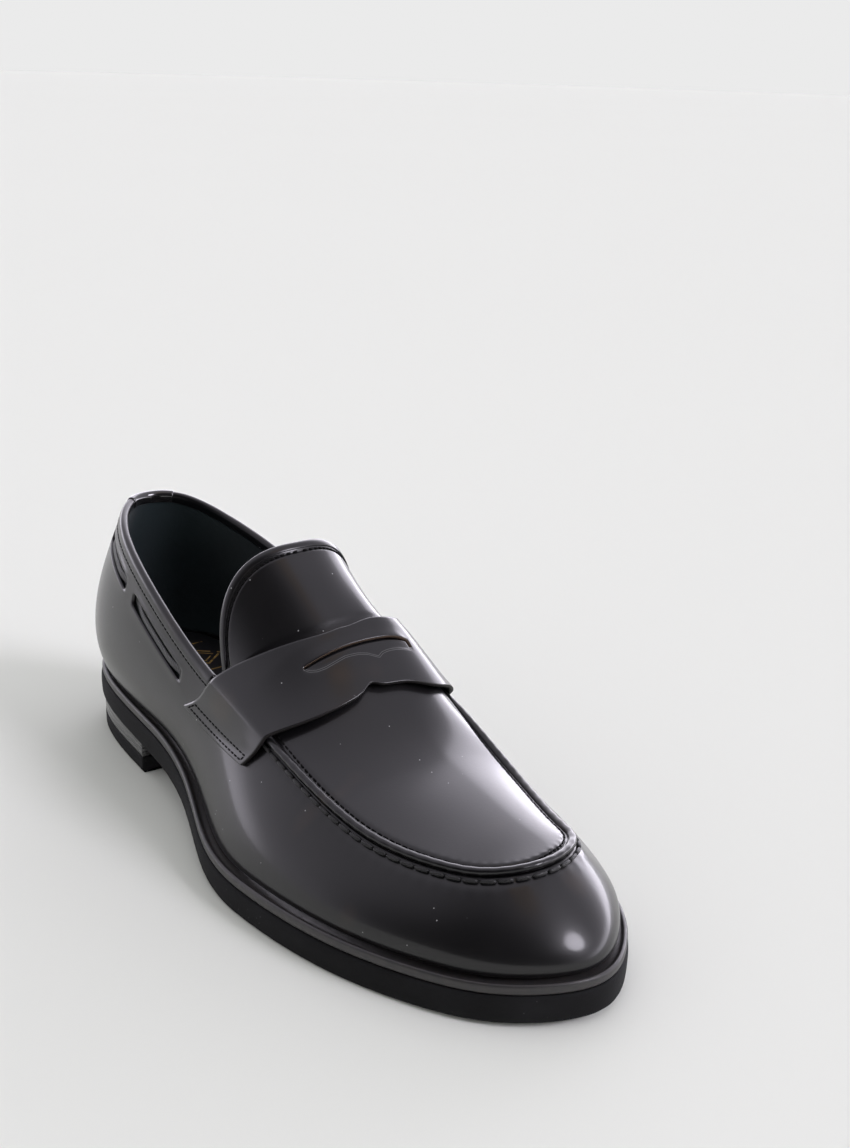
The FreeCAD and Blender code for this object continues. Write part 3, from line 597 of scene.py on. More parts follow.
def skin_place(s, row):
    """Leather of the wall, with puckers and a groove along the hand seam and lips round the slots."""
    middle = window_middle(s)
    half = (WINDOW_WIDTH / 2 + WINDOW_EASE) / wall_height(s)
    end = 1 - 1.2 / wall_height(s)
    crossed = middle - half + (row - LOW_ROW) / (HIGH_ROW - LOW_ROW) * 2 * half
    over = middle + half + (row - HIGH_ROW) / (LAST_ROW - HIGH_ROW) * (end - middle - half)
    v = np.where(row < LOW_ROW, row / LOW_ROW * (middle - half), np.where(row < HIGH_ROW, crossed, over))
    drop = (1 - v) * wall_height(s)
    run = np.interp(s % COUNT, seam_places, seam_run)
    sewn = fade(s, PIPING[0], PIPING[0] + 0.2) * (1 - fade(s, PIPING[1] - 0.2, PIPING[1]))
    pucker = 0.05 * np.cos(2 * np.pi * run / STITCH_PITCH) * np.exp(-((drop - 3.5) / 2.2) ** 2) * sewn
    groove = -0.45 * np.exp(-((drop - 2.6) / 0.9) ** 2) * sewn
    lips = sum(fade(s, a - 0.12, a + 0.1) * (1 - fade(s, b - 0.1, b + 0.12)) for a, b in
               OUTER_WINDOWS + INNER_WINDOWS)
    lip = 0.3 * lips * np.exp(-((np.abs(v - middle) / half - 1.1) / 0.7) ** 2)
    return wall_lifted(s, v, pucker + groove + lip)


def cut_windows(shape, places, windows):
    """Removes the faces between the slots' edges."""
    column = len(places) - 1
    doomed = []
    map_layer = shape.loops.layers.uv.verify()
    for face in shape.faces:
        a = sum(corner[map_layer].uv.x for corner in face.loops) / 4
        b = sum(corner[map_layer].uv.y for corner in face.loops) / 4
        s = places[int(a * column)]
        if LOW_ROW < b * LAST_ROW < HIGH_ROW and any(low - 1e-6 <= s < high - 1e-6 for low, high in windows):
            doomed.append(face)
    bmesh.ops.delete(shape, geom=doomed, context="FACES")
    return shape


def leather_paint(start):
    place = start.place()
    pores = start.cells(place, 1700.0)
    grain = start.noise(place, 700.0, 3.0)
    cloud = start.noise(place, 22.0, 2.0)
    # painted reflection: faint brownish patches in the base colour stand in for reflections of a warm-coloured
    # thing
    painted_warm_reflection = start.noise(place, 34.0, 1.0).rise(0.62, 0.78)
    dust = start.cells(place, 170.0)
    lint = (1 - dust.rise(0.030, 0.050)) * start.noise(place, 60.0, 1.0).rise(0.44, 0.52)
    black = cloud.rise(0.3, 0.7).tint((0.0030, 0.0028, 0.0034, 1), (0.0058, 0.0054, 0.0058, 1))
    brown = (painted_warm_reflection * 0.55).tint(black, (0.028, 0.017, 0.010, 1))
    height = pores * 0.5 + grain * 0.5
    return {"Base Color": (lint * 0.8).tint(brown, (0.45, 0.45, 0.46, 1)),
            "Roughness": 0.25 + cloud * 0.10 + grain * 0.05 + lint * 0.3,
            "Normal": relief(start, height, 0.018)}


POLISH = {"Specular_IOR_Level": 0.32, "Coat_Weight": 0.42, "Coat_IOR": 1.5}
polished = finish("upper_leather", leather_paint, Coat_Roughness=0.10, **POLISH)
vamp_places = graded([0.012, 1.42, 2.5, 2.73, 3.8, 5.3, 15.3, SEAM - 0.006], [14, 13, 3, 13, 14, 190, 6])
vamp = cut_windows(sheet(vamp_places, np.arange(LAST_ROW + 1), skin_place), vamp_places, OUTER_WINDOWS)
piece("vamp_and_outer_quarter", vamp, polished, ["vamp"], thick=LEATHER, crease=0.35)
quarter_places = graded([SEAM + 0.006, 16.42, 17.42, 17.62, 18.68, COUNT - 0.012], [8, 12, 3, 13, 14])
quarter = cut_windows(sheet(quarter_places, np.arange(LAST_ROW + 1), skin_place), quarter_places, INNER_WINDOWS)
piece("inner_quarter", quarter, polished, ["medial_quarter"], thick=LEATHER, crease=0.35)

# ---- linings
# Dark green-black lining leather, 0.9 mm: one piece round the quarters, which shows inside the collar,
# and one lasted inside the front.
LINING = 0.9
LINING_TOP = -LEATHER - 0.9


def lining_paint(start):
    place = start.place()
    nap = start.noise(place, 1100.0, 4.0)
    cloud = start.noise(place, 30.0, 3.0)
    teal = cloud.rise(0.25, 0.75).tint((0.006, 0.012, 0.015, 1), (0.011, 0.023, 0.027, 1))
    return {"Base Color": (nap.rise(0.55, 0.8) * 0.5).tint(teal, (0.022, 0.040, 0.045, 1)),
            "Roughness": 0.55 + nap * 0.2, "Normal": relief(start, nap, 0.06)}


lining_leather = finish("lining_leather", lining_paint, Sheen_Weight=0.12, Sheen_Roughness=0.5)


def inner_wall(s, row):
    """Lining of the wall, from just over the insole to just under the topline."""
    end = 1 - 1.7 / wall_height(s)
    return wall_lifted(s, 0.03 + (end - 0.03) * row, LINING_TOP)


back_wall = sheet(np.linspace(STRAP_INNER - COUNT, STRAP_OUTER, 90), np.linspace(0, 1, 17), inner_wall)
piece("quarter_lining_sheet", back_wall, lining_leather, ["quarter_lining"], thick=LINING)
front_places = np.linspace(STRAP_OUTER + 0.03, STRAP_INNER - 0.03, 110)
front_wall = sheet(front_places, np.linspace(0, 1, 13), inner_wall)
ARCH_RISE = [0.0, 2.8, 5.2, 7.2, 9.0, 26.0, 42.0]
ARCH_LEAN = 0.3
rise_curve = spline([(rise,) for rise in ARCH_RISE])


def skin(k, w):
    """Upper k stations back from the toe; w is -1 and 1 on the seams and runs down the wall beyond."""
    inside = np.clip(w, -1.0, 1.0)
    outer = top(TOE - k)
    inner = top(TOE + k)
    lean = (inside - ARCH_LEAN) / (1 - ARCH_LEAN * np.sign(inside - ARCH_LEAN))
    power = 1.6 + 0.8 * np.clip((k - 3.5) / 1.5, 0.0, 1.0)
    rise = rise_curve(k)[..., 0] * (1 - np.abs(lean) ** power)
    arch = outer + (inner - outer) * (0.5 + 0.5 * inside)[..., None]
    arch[..., 2] += rise
    side = wall(TOE + np.sign(w) * k, np.minimum(2 - np.abs(w), 1.0))
    return np.where((np.abs(w) <= 1)[..., None], arch, side)


def arch_lifted(k, w, lift):
    def arch(a, b):
        return skin(np.maximum(a, 0.02), np.clip(b, -1.0, 1.0))

    return lifted(arch, k, w, -np.asarray(lift, float))


TOE_FALL = TOP_LINE[TOE][0] - 0.5 * (TOP_LINE[TOE - 1][0] + TOP_LINE[TOE + 1][0])


def arch_reach(k, margin):
    """How far across the arch reaches, clear of the seam by a margin at both sides and round the toe."""
    half = 0.5 * np.linalg.norm(skin(k, 1 + 0 * k) - skin(k, -1 + 0 * k), axis=-1)
    side = 1 - margin / np.maximum(half, 2.2)
    toe = np.sqrt(np.maximum(1 - margin * 1.15 / (TOE_FALL * k * k), 0.02))
    return np.minimum(side, toe)


front_roof = sheet(np.linspace(-1, 1, 21), np.linspace(0.7, 4.85, 36),
                   lambda u, k: arch_lifted(k, u * arch_reach(k, 1.9), LINING_TOP + 0.5))
roof_mesh = bpy.data.meshes.new("front_roof")
front_roof.to_mesh(roof_mesh)
front_roof.free()
front_wall.from_mesh(roof_mesh)
piece("front_lining_sheet", front_wall, lining_leather, ["vamp_lining"], thick=LINING)

# ---- collar lace
# A flat textured leather lace that runs round the collar between quarter and lining and shows, slightly
# bulged, in the four slots.
LACE_WIDTH = 3.2
LACE_RIBS = 300


def lace_paint(start):
    place = start.place()
    scales = start.cells(place, 1500.0)
    crack = start.noise(place, 1300.0, 4.0)
    along = start.node("ShaderNodeTexCoord", out="UV").part("X")
    rib = start.maths("SINE", along * (2 * math.pi * LACE_RIBS) + crack * 1.5) * 0.5 + 0.5
    tone = (scales * 0.5 + rib * 0.5).rise(0.1, 0.7).tint((0.026, 0.026, 0.027, 1), (0.085, 0.084, 0.088, 1))
    return {"Base Color": tone, "Roughness": 0.42 + crack * 0.2,
            "Normal": relief(start, scales * 0.3 + crack * 0.2 + rib * 0.5, 0.16)}


def lace_place(s, across):
    """The lace; its upper surface is slightly domed and rises in the slots."""
    inside = sum(fade(s % COUNT, a, a + 0.25) * (1 - fade(s % COUNT, b - 0.25, b)) for a, b in
                 OUTER_WINDOWS + INNER_WINDOWS)
    v = window_middle(s) + (across * LACE_WIDTH / 2 - 0.75 * inside) / wall_height(s)
    return wall_lifted(s, v, -LEATHER - 0.22 + inside * (1.45 - 0.45 * across ** 2))


piece("collar_lace_strip", sheet(np.linspace(16.15 - COUNT, 4.05, 150), np.linspace(-1, 1, 7), lace_place),
      finish("lace_leather", lace_paint), ["collar_lace"], thick=0.6)


# ---- apron and piping
# The apron is the flat top of the front. Its edge and the vamp's are turned up and sewn by hand over a
# cord, which makes the raised bead round the toe.
def tube(centres, sides, profile, shape_along=None):
    """Closed bar that carries a closed section of (side, rise) points along a row of centres."""
    along = np.gradient(centres, axis=0)
    along /= np.linalg.norm(along, axis=1, keepdims=True)
    flat = sides - along * np.sum(sides * along, axis=1, keepdims=True)
    flat /= np.linalg.norm(flat, axis=1, keepdims=True)
    up = np.cross(flat, along)
    section = np.array(profile)
    scale = np.ones(len(centres)) if shape_along is None else shape_along

    def place(ring, corner):
        ring = ring.astype(int)
        x, y = section[corner.astype(int) % len(section)].T
        return centres[ring] + (flat[ring] * x[:, None] + up[ring] * y[:, None]) * scale[ring][:, None]

    return close_up(sheet(np.arange(len(centres)), np.arange(len(section) + 1), place))


def oval(wide, high, corners=12):
    """Section of a bead."""
    turns = np.arange(corners) * 2 * np.pi / corners
    return [(wide * math.cos(turn), high * math.sin(turn)) for turn in turns]


def seam_path(places, lift):
    """Centres along the top of the wall, and the direction away from the shoe at each."""
    near_top = np.full(len(places), 0.999)
    over = wall_lifted(places, near_top, 1.0) - wall(places, near_top)
    return top(places) + over * lift, over


def even_places(start, stop, pitch):
    """Places along the seam that are a stated length apart."""
    places, run = seam_length(start, stop)
    count = int(round(run[-1] / pitch))
    return np.interp((np.arange(count) + 0.5) * run[-1] / count, run, places)


seam_points = top(np.linspace(*PIPING, 700))


def apron_place(u, k):
    """Apron leather, with a sewn groove beside the bead and faint puckers along it."""
    w = u * arch_reach(k, 1.3)
    flat = arch_lifted(k, w, 0.0)
    gaps = np.linalg.norm(flat[:, None, :] - seam_points[None, :, :], axis=2)
    nearest = gaps.argmin(axis=1)
    gap = gaps[np.arange(len(gaps)), nearest]
    run = np.interp(np.linspace(*PIPING, 700)[nearest], seam_places, seam_run)
    groove = -0.55 * np.exp(-((gap - 2.5) / 0.75) ** 2)
    pucker = 0.07 * np.cos(2 * np.pi * run / 4.0) * np.exp(-((gap - 3.3) / 1.2) ** 2)
    return arch_lifted(k, w, groove + pucker)


apron_line = np.linspace(-1, 1, 61)
apron_u = np.sign(apron_line) * (1 - (1 - np.abs(apron_line)) ** 1.35)
apron_k = graded([0.5, 0.62, 1.4, 4.8], [3, 16, 62])
apron = sheet(apron_u, apron_k, apron_place)
piece("apron_sheet", apron, polished, ["apron"], thick=LEATHER)

bead_places = np.linspace(PIPING[0] - 0.1, PIPING[1] + 0.1, 330)
bead_centres, bead_sides = seam_path(bead_places, -0.2)
bead_run = np.interp(bead_places, seam_places, seam_run)
bead_swell = 1 + 0.025 * np.cos(2 * np.pi * bead_run / STITCH_PITCH) + 0.012 * np.sin(bead_run / 3.1)
bead_section = [(x, y * (1.0 if y > 0 else 0.8)) for x, y in oval(1.9, 1.75, 14)]
piece("apron_bead", tube(bead_centres, bead_sides, bead_section, bead_swell), polished,
      ["apron_piping"])

# ---- topline binding and back tab
# A narrow strip of the upper leather folded over the edge of the collar and sewn down, and a short loop
# of patent leather over it at the back.
BINDING_SECTION = [(1.25, -3.7), (1.52, -3.75), (1.62, -2.4), (1.58, -0.7), (1.30, 0.35), (0.70, 0.95),
                   (-0.1, 1.15), (-1.0, 0.95), (-1.7, 0.35), (-2.1, -0.7), (-2.2, -2.4), (-2.1, -3.3),
                   (-1.7, -3.3), (-1.3, -1.9), (0.9, -1.9)]
collar_places = np.linspace(STRAP_INNER - COUNT - 0.06, STRAP_OUTER + 0.06, 240)
collar_centres, collar_sides = seam_path(collar_places, -1.3)
collar_swell = 1 + 0.012 * np.sin(np.interp(collar_places % COUNT, seam_places, seam_run) / 2.3)
piece("collar_binding", tube(collar_centres, collar_sides, BINDING_SECTION, collar_swell), polished,
      ["topline_binding"])


def patent_paint(start):
    ripple = start.noise(start.place(), 220.0, 2.0)
    tone = ripple.tint((0.006, 0.006, 0.007, 1), (0.012, 0.012, 0.012, 1))
    return {"Base Color": tone, "Roughness": 0.10 + ripple * 0.06, "Normal": relief(start, ripple, 0.08)}


TAB_SECTION = [(1.50, -4.2), (1.95, -4.25), (2.05, -2.4), (1.98, -0.4), (1.62, 0.75), (0.85, 1.42),
               (-0.1, 1.62), (-1.2, 1.38), (-2.0, 0.65), (-2.45, -0.4), (-2.55, -2.0), (-2.45, -2.9),
               (-2.1, -2.8), (-2.0, -1.6), (-0.9, 0.6), (0.4, 0.7), (1.35, -0.8)]
tab_line = np.linspace(-1, 1, 40)
tab_centres, tab_sides = seam_path(tab_line * 0.86, -1.3)
tab_ends = 1 - 0.06 * np.exp(-((np.abs(tab_line) - 1) / 0.04) ** 2)
piece("back_tab_loop", tube(tab_centres, tab_sides, TAB_SECTION, tab_ends),
      finish("tab_patent", patent_paint, Coat_Weight=1.0, Coat_Roughness=0.04), ["back_tab"])

# ---- saddle strap
# The penny strap: 1.5 mm leather with cut, dark-dyed edges, sewn down at both ends and standing off the
# apron between them. A moustache-shaped cut shows the backing leather, and its upper edge gapes.
STRAP = [(-1.30, 4.73, -1.42, 6.00), (-1.15, 4.60, -1.20, 5.72), (-1.00, 4.52, -1.00, 5.55),
         (-0.70, 4.40, -0.70, 5.25), (-0.35, 4.37, -0.35, 5.06), (-0.12, 4.41, -0.12, 5.01),
         (0.00, 4.47, 0.00, 5.01), (0.12, 4.43, 0.12, 5.01), (0.35, 4.41, 0.35, 5.04),
         (0.70, 4.42, 0.70, 5.16), (1.00, 4.68, 1.00, 5.70), (1.15, 4.84, 1.20, 5.90),
         (1.30, 5.02, 1.42, 6.19)]
STRAP_THICK = 1.5
SLIT = 4.83
SLIT_ENDS = (-0.47, 0.58)
STATION_LENGTH = 36.0
strap_edges = spline(STRAP)
# the cut's lower contour: place across the strap, and millimetres below the slit
CONTOUR = [(-0.47, 0.3), (-0.44, 1.7), (-0.38, 2.9), (-0.30, 3.3), (-0.20, 3.0), (-0.10, 2.6), (0.02, 3.0),
           (0.11, 3.9), (0.20, 5.6), (0.25, 4.5), (0.32, 4.0), (0.41, 3.8), (0.49, 3.8), (0.555, 3.4)]
ACROSS_LENGTH = 42.0
# rows of the strap's grid: the slit's front and rear edges, the front of the hook and the rear edge
SLIT_ROW, GAPE_ROW, HOOK_ROW, REAR_ROW = 22, 23, 19, 32


def skin_lifted(k, w, lift):
    return lifted(skin, k, w, -np.asarray(lift, float), step_b=0.12)


def strap_lift(w):
    return 0.12 + 2.0 * (1 - fade(np.abs(w), 0.95, 1.3))


def strap_spot(column, share):
    """k and w of a point of the strap, from its front edge at 0 to its rear edge at 1."""
    w_front, front, w_rear, rear = strap_edges(column).T
    return front + (rear - front) * share, w_front + (w_rear - w_front) * share


def slit_share(column):
    """Share of the way back at which the slit lies, held level past its ends."""
    places = np.linspace(0, len(STRAP) - 1, 400)
    w_front, front, _, rear = strap_edges(places).T
    share = (SLIT - front) / (rear - front)
    middle = np.abs(w_front) < 0.72
    return np.interp(column, places[middle], share[middle])


def strap_share(column, row):
    """Share of the way back at which a row lies; the slit is one row wide."""
    slit = slit_share(column)
    w_front, front, _, rear = strap_edges(column).T
    half = 0.5 * 0.85 / STATION_LENGTH / (rear - front)
    behind = np.maximum(row - GAPE_ROW, 0.0) / (REAR_ROW - GAPE_ROW)
    return np.where(row <= SLIT_ROW, row / SLIT_ROW * (slit - half), slit + half + behind * (1 - slit - half))


def cut_distance(k, w):
    """Millimetres from the cut's lower contour: negative inside the cut."""
    curve = np.array(CONTOUR)
    line_w = np.linspace(curve[0, 0], curve[-1, 0], 500)
    line_drop = np.interp(line_w, curve[:, 0], curve[:, 1])
    drop = (SLIT - k) * STATION_LENGTH
    gap = np.hypot((w[:, None] - line_w) * ACROSS_LENGTH, drop[:, None] - line_drop).min(axis=1)
    within = (w > curve[0, 0]) & (w < curve[-1, 0])
    inside = within & (drop > 0) & (drop < np.interp(w, curve[:, 0], curve[:, 1]))
    return np.where(inside, -gap, gap)


def strap_place(column, row):
    k, w = strap_spot(column, strap_share(column, row))
    sunk = -0.28 * fade(-cut_distance(k, w), -0.15, 0.5)
    ridge = 0.35 * np.exp(-((np.abs(w) - 0.97) / 0.07) ** 2)
    behind = (k - SLIT) * STATION_LENGTH
    gape = (row >= GAPE_ROW) * fade(w, -0.47, -0.2) * (1 - fade(w, 0.5, 0.58)) * 0.55 * np.exp(-(behind / 2.6) ** 2)
    return skin_lifted(k, w, strap_lift(w) + STRAP_THICK + sunk + ridge + gape)


def strap_paint(start):
    """The polished leather, with the cut's contour painted as a dark line of shade and a paler band of painted
    highlight beside it.
    """
    sockets = leather_paint(start)
    gap = start.node("ShaderNodeAttribute", out="Fac", attribute_name="cut").size()
    # painted shade: a near-black line along the cut's contour stands in for the shade inside the cut
    painted_cut_shade = (1 - gap.rise(0.06, 0.20)) * 0.8
    # painted highlight: a paler band just beside the line stands in for light catching the cut's edge
    rim = (1 - (gap - 0.30).size().rise(0.04, 0.17)) * 0.55
    with_painted_cut_highlight = rim.tint(sockets["Base Color"], (0.10, 0.10, 0.10, 1))
    sockets["Base Color"] = painted_cut_shade.tint(with_painted_cut_highlight, (0.003, 0.003, 0.003, 1))
    sockets["Roughness"] = sockets["Roughness"] + painted_cut_shade * 0.4
    return sockets


def place_of(w):
    """Place along the strap's table at which the front edge has this w."""
    places = np.linspace(0, len(STRAP) - 1, 2000)
    return float(np.interp(w, strap_edges(places)[:, 0], places))


slit_from, slit_to = (place_of(w) for w in SLIT_ENDS)
hook_from = place_of(SLIT_ENDS[1] - 0.026)
strap_breaks = [0.0, place_of(-0.75), slit_from, hook_from, slit_to, place_of(0.75), len(STRAP) - 1.0]
strap_columns = graded(strap_breaks, [26, 14, 60, 1, 9, 26])
last_column = len(strap_columns) - 1
strap_shape = sheet(strap_columns, np.arange(REAR_ROW + 1), strap_place)
strap_map = strap_shape.loops.layers.uv.verify()
cut_layer = strap_shape.verts.layers.float.new("cut")
doomed = []
for face in strap_shape.faces:
    a = sum(corner[strap_map].uv.x for corner in face.loops) / 4 * last_column
    b = sum(corner[strap_map].uv.y for corner in face.loops) / 4 * REAR_ROW
    column = strap_columns[int(a)]
    along_slit = slit_from - 1e-6 <= column < slit_to - 1e-6
    in_hook = hook_from - 1e-6 <= column < slit_to - 1e-6
    if along_slit and SLIT_ROW < b < GAPE_ROW or in_hook and HOOK_ROW < b < GAPE_ROW:
        doomed.append(face)
for vert in strap_shape.verts:
    grid_place = vert.link_loops[0][strap_map].uv
    column = np.interp([grid_place.x * last_column], np.arange(last_column + 1), strap_columns)
    k, w = strap_spot(column, strap_share(column, np.array([grid_place.y * REAR_ROW])))
    vert[cut_layer] = float(cut_distance(k, w)[0])
bmesh.ops.delete(strap_shape, geom=doomed, context="FACES")


def strap_edge_paint(start):
    """The strap's cut edges: dyed black outside, bare brown leather round the slit."""
    fibre = start.noise(start.place(), 900.0, 3.0)
    bare = 1 - start.node("ShaderNodeAttribute", out="Fac", attribute_name="cut").rise(5.0, 7.0)
    tone = bare.tint((0.010, 0.009, 0.009, 1), (0.085, 0.056, 0.038, 1))
    return {"Base Color": (fibre * 0.6).tint(tone, (0.016, 0.013, 0.012, 1)), "Roughness": 0.5 + fibre * 0.25,
            "Normal": relief(start, fibre, 0.06)}


strap_edge = finish("strap_cut_edge", strap_edge_paint, Specular_IOR_Level=0.3)
strap_leather = finish("saddle_leather", strap_paint, Coat_Roughness=0.12, **POLISH)
piece("saddle_strap_leather", strap_shape, strap_leather, ["saddle_strap"],
      thick=STRAP_THICK, crease=0.75, raw_edge=strap_edge)


def backing_place(w, k):
    return skin_lifted(k, w, strap_lift(w) - 0.05)


piece("slit_backing_leather", sheet(np.linspace(-0.55, 0.66, 24), np.linspace(4.66, 4.97, 7), backing_place),
      polished, ["slot_backing"], thick=0.7)

# ---- tongue
# The free flap over the instep: two layers of leather with a rounded top, a folded edge bead and a
# sewn row inside it. It comes out from under the strap and can be lifted.
TONGUE_HALF = 30.6
TONGUE_MIDDLE = (3.4, 7.4)
TONGUE_TOP = 108.5
TONGUE_FOOT = 67.0
TONGUE_REAR = -25.5
TONGUE_SWEEP = 8.5
TONGUE_TUCK = 11.0
TONGUE_POWER = 2.6
TONGUE_LEG = 6.0
TONGUE_FOLD = 0.9


def tongue_surface(along, across):
    """The tongue from the strap at 0 to the free edge at 1; past the fold its sides hang in the collar."""
    arc = np.clip(across / TONGUE_FOLD, -1.0, 1.0)
    hang = np.maximum(np.abs(across) - TONGUE_FOLD, 0.0) / (1 - TONGUE_FOLD)
    w = 0.85 * arc
    places = np.linspace(0, len(STRAP) - 1, 2000)
    rear_edges = strap_edges(places)
    start_k = np.interp(w, rear_edges[:, 2], rear_edges[:, 3]) + 0.5 / 38
    start = skin(start_k, w)
    turn = 0.5 * np.pi * arc
    side = np.sign(arc) * np.abs(np.sin(turn)) ** (2 / TONGUE_POWER)
    height = np.abs(np.cos(turn)) ** (2 / TONGUE_POWER)
    sunk = (1 - height) ** 2
    middle = TONGUE_MIDDLE[1] + (TONGUE_MIDDLE[0] - TONGUE_MIDDLE[1]) * sunk
    end = lift_up(TONGUE_REAR - TONGUE_SWEEP * side * side + TONGUE_TUCK * sunk, middle + TONGUE_HALF * side,
                  TONGUE_FOOT + (TONGUE_TOP - TONGUE_FOOT) * height)
    bow = (2.0 * along * (1 - along) * (1 - side * side))[..., None] * np.array([-0.6, 0.0, 1.0])
    bow[..., 2] -= TONGUE_LEG * hang
    return start + (end - start) * along[..., None] + bow


def tongue_lifted(along, across, lift):
    inside = np.clip(across, -0.97, 0.97)
    moved = lifted(tongue_surface, along, inside, -np.asarray(lift, float), step_a=0.05, step_b=0.02)
    return tongue_surface(along, across) + moved - tongue_surface(along, inside)


def tongue_run(across):
    """Length of the tongue from the strap to its edge."""
    start = tongue_surface(0 * across, across)
    return np.linalg.norm(tongue_surface(1 + 0 * across, across) - start, axis=-1)


def tongue_place(across, share):
    """Tongue leather, tucked a little under the strap, with a groove along the sewn row."""
    run = tongue_run(across)
    tuck = 2.6 * (1 - fade(share, 0.0, 0.12))
    along = share * (1 - 1.2 / run) - tuck / run
    from_edge = (1 - along) * run
    groove = -0.5 * np.exp(-((from_edge - 3.6) / 0.7) ** 2)
    return tongue_lifted(along, across, groove - 0.25 * (tuck > 0.01))


tongue_across = np.linspace(-1, 1, 91)
tongue_shares = graded([0.0, 0.12, 0.75, 1.0], [5, 16, 22])
tongue = sheet(tongue_across, tongue_shares, tongue_place)
piece("tongue_leather", tongue, polished, ["tongue"], body="tongue_flap", thick=1.3)


def tongue_back_place(across, share):
    run = tongue_run(across)
    return tongue_lifted(share * (1 - 1.5 / run), across, -1.6)


tongue_back = sheet(np.linspace(-1, 1, 61), np.linspace(0, 1, 13), tongue_back_place)
piece("tongue_lining_sheet", tongue_back, lining_leather, ["tongue_lining"],
      body="tongue_flap", thick=LINING)

tongue_line = np.linspace(-1, 1, 121)
ones = np.ones_like(tongue_line)
tongue_sides = tongue_lifted(ones, tongue_line, ones) - tongue_surface(ones, tongue_line)
tongue_centres = tongue_surface(ones, tongue_line) - tongue_sides * 1.15
# the section's first number is towards the outer face, its second along the leather away from the edge
TONGUE_SECTION = [(1.25, 2.6), (1.62, 2.4), (1.72, 1.2), (1.5, -0.1), (0.95, -0.95), (0.0, -1.3),
                  (-0.95, -0.95), (-1.5, -0.1), (-1.6, 1.2), (-1.5, 2.4), (-1.1, 2.5), (-0.9, 1.2), (0.9, 1.2)]
tongue_forward = tongue_surface(1 - 0.05 * ones, tongue_line) - tongue_surface(ones, tongue_line)
tongue_up = np.cross(tongue_sides, np.gradient(tongue_centres, axis=0))
tongue_turn = np.sign(np.sum(tongue_up * tongue_forward, axis=1).mean())
tongue_bead = tube(tongue_centres, tongue_sides, [(x, y * tongue_turn) for x, y in TONGUE_SECTION])
piece("tongue_edge_bead", tongue_bead, polished, ["tongue_binding"], body="tongue_flap")

# ---- stitching
# Waxed black thread: long hand stitches outside the bead, fine machine rows inside it, below the
# topline, down the inner seam, round both strap ends and inside the tongue's edge.


def thread_paint(start):
    place = start.place()
    twist = start.node("ShaderNodeTexWave", {"Vector": place, "Scale": 900.0, "Distortion": 2.0})
    fuzz = start.noise(place, 2500.0, 2.0)
    tone = twist.rise(0.2, 0.8).tint((0.003, 0.003, 0.003, 1), (0.008, 0.008, 0.008, 1))
    return {"Base Color": tone, "Roughness": 0.62 + fuzz * 0.2, "Normal": relief(start, twist, 0.08)}


thread = finish("thread", thread_paint, Specular_IOR_Level=0.12)
waxed_thread = finish("waxed_thread", thread_paint, Coat_Weight=0.35, Coat_Roughness=0.3)


def stitches(name, spot, places, length, wide, high, node_name, body="shoe", sink=0.0, material=thread):
    """One seam: a small blunt loop of thread at each place, laid along the seam and up its leather."""
    seam = bmesh.new()
    for place, step in places:
        here, before, after, over = (np.asarray(spot(place + shift, lift), float) for shift, lift in
                                     ((0.0, 0.0), (-step, 0.0), (step, 0.0), (0.0, 1.0)))
        along = Vector(after - before).normalized()
        up = Vector(over - here)
        up = (up - along * up.dot(along)).normalized()
        side = along.cross(up)
        turned = Matrix((side * wide, up * high, along * length / 2)).transposed().to_4x4()
        turned.translation = Vector(here) - up * sink
        loop = bmesh.ops.create_uvsphere(seam, u_segments=6, v_segments=6, radius=1.0)["verts"]
        for vert in loop:
            blunt = max(math.hypot(vert.co.x, vert.co.y), 0.01) ** -0.5
            vert.co.x *= blunt
            vert.co.y *= blunt
        bmesh.ops.transform(seam, matrix=Matrix.Scale(MM, 4) @ turned, verts=loop)
    bmesh.ops.recalc_face_normals(seam, faces=seam.faces)
    piece(name, seam, material, [node_name], body=body, levels=0)


def spot_at(function, *fixed):
    """Point function of one place and a lift, for a single stitch."""
    def spot(place, lift):
        return function(np.array([place]), np.array([lift]), *fixed)[0]

    return spot


def along_seam(s, lift, drop):
    return wall_lifted(s, 1 - drop / wall_height(s), lift)


def beside_apron(s, lift, inset):
    """Spot on the apron a stated distance inside the seam."""
    flat = top(s)
    before = top(s - 0.02)
    after = top(s + 0.02)
    inward = np.cross([0.0, 0.0, 1.0], after - before)
    inward /= np.linalg.norm(inward, axis=1, keepdims=True)
    goal = flat + inward * inset
    k = np.abs(s - TOE)
    w = np.sign(s - TOE)
    for _ in range(12):
        here = skin(np.maximum(k, 0.3), w)
        back = skin(np.maximum(k, 0.3) + 0.02, w)
        across = skin(np.maximum(k, 0.3), w - 0.01) - skin(np.maximum(k, 0.3), w + 0.01)
        miss = (goal - here)[:, :2]
        jacobian = np.stack([(back - here)[:, :2] / 0.02, -across[:, :2] / 0.02], axis=2)
        step = np.linalg.solve(jacobian, miss[..., None])[..., 0]
        k = np.clip(k + 0.6 * step[:, 0], 0.35, 5.4)
        w = np.clip(w + 0.6 * step[:, 1], -1.0, 1.0)
    return arch_lifted(k, w, lift)


def spaced(start, stop, pitch):
    """Evenly spaced places on the top of the wall, each with a small step for its direction."""
    return [(float(place), 0.02) for place in even_places(start, stop, pitch)]


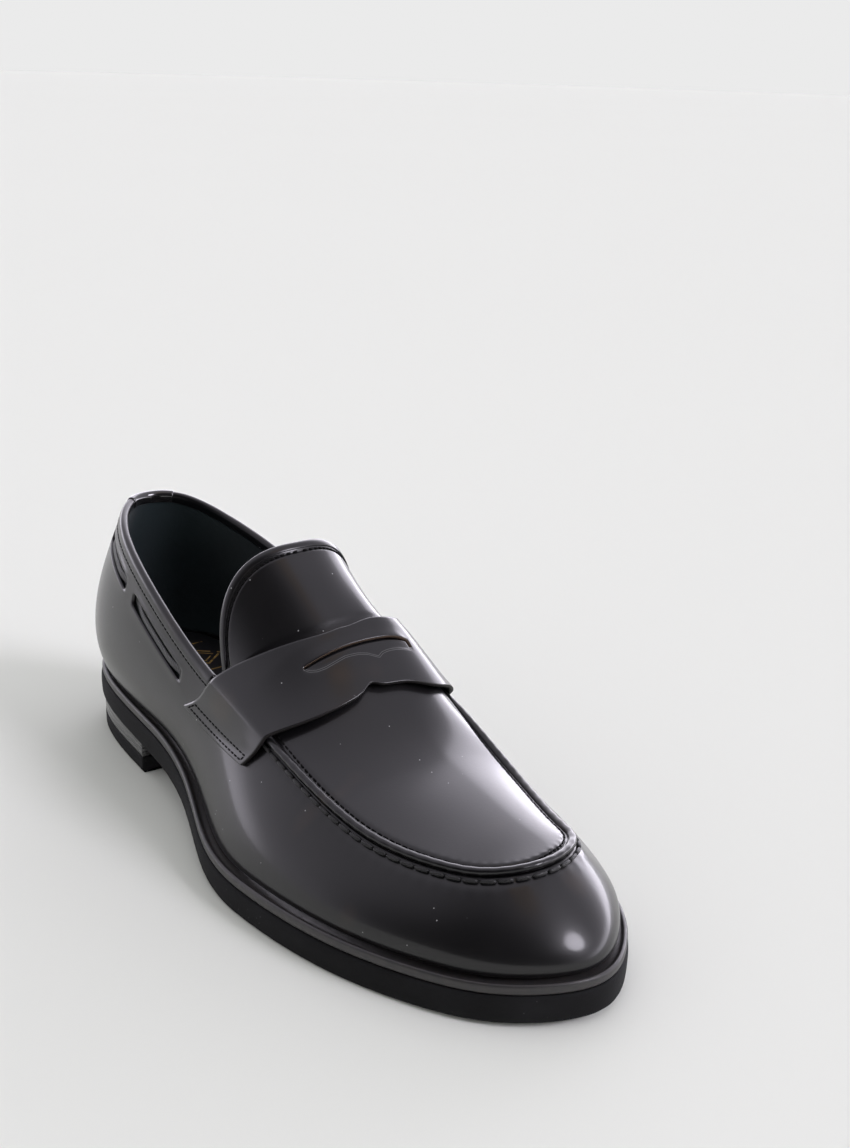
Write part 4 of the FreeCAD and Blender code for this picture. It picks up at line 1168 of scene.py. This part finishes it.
stitches("apron_hand_stitches", spot_at(along_seam, 2.45), spaced(*PIPING, STITCH_PITCH), 5.36, 0.80, 0.85,
         "apron_outer_stitches", sink=-0.3, material=waxed_thread)
stitches("apron_fine_stitches", spot_at(beside_apron, 2.6), spaced(*PIPING, 2.7), 2.1, 0.34, 0.34,
         "apron_inner_stitches", sink=0.3)
stitches("collar_stitches", spot_at(along_seam, 4.3), spaced(STRAP_INNER - COUNT, STRAP_OUTER, 2.3),
         1.8, 0.30, 0.26, "topline_stitches")


def inner_seam(v, lift, offset):
    return wall_lifted(SEAM + offset + 0 * v, v, lift)


seam_rows = [(v, 0.01) for v in np.linspace(0.06, 0.86, 24)]
seam_shape = [spot_at(inner_seam, offset) for offset in (0.05, 0.13)]
stitches("inner_seam_stitches", lambda place, lift: seam_shape[int(place >= 2)](place % 2, lift),
         seam_rows + [(v + 2, step) for v, step in seam_rows], 1.9, 0.32, 0.28, "medial_seam_stitches")


def strap_end_loop(outer_side):
    """Narrow rectangle of stitches on one end of the strap, as (column, share) corners."""
    last = len(STRAP) - 1.0
    near, far = (0.22, 0.56) if outer_side else (last - 0.22, last - 0.56)
    return [(near, 0.05), (near, 0.95), (far, 0.95), (far, 0.05)]


def loop_spot(corners):
    """Spot along the loop: 0 to 4 run over its four sides, in order."""
    corner_places = np.array(corners + corners[:1])

    def spot(place, lift):
        column = np.interp([place], np.arange(5), corner_places[:, 0])
        share = np.interp([place], np.arange(5), corner_places[:, 1])
        k, w = strap_spot(column, share)
        return skin_lifted(k, w, strap_lift(w) + STRAP_THICK + lift)[0]

    return spot


for outer_side, name in ((True, "lateral"), (False, "medial")):
    spot = loop_spot(strap_end_loop(outer_side))
    fine = np.linspace(0, 4, 400)
    trail = np.array([spot(place, 0.0) for place in fine])
    run = np.concatenate([[0], np.cumsum(np.linalg.norm(np.diff(trail, axis=0), axis=1))])
    count = int(run[-1] / 2.4)
    marks = np.interp((np.arange(count) + 0.5) * run[-1] / count, run, fine)
    stitches(f"strap_stitches_{name}", spot, [(float(mark), 0.01) for mark in marks], 1.8, 0.36, 0.32,
             f"saddle_stitches_{name}")


def tongue_row(across, lift):
    run = tongue_run(across)
    return tongue_lifted(1 - 3.6 / run, across, lift)


tongue_marks = np.linspace(-0.86, 0.86, 44)
stitches("tongue_edge_stitches", spot_at(tongue_row), [(float(mark), 0.004) for mark in tongue_marks],
         1.9, 0.40, 0.36, "tongue_stitches", body="tongue_flap", sink=0.15)
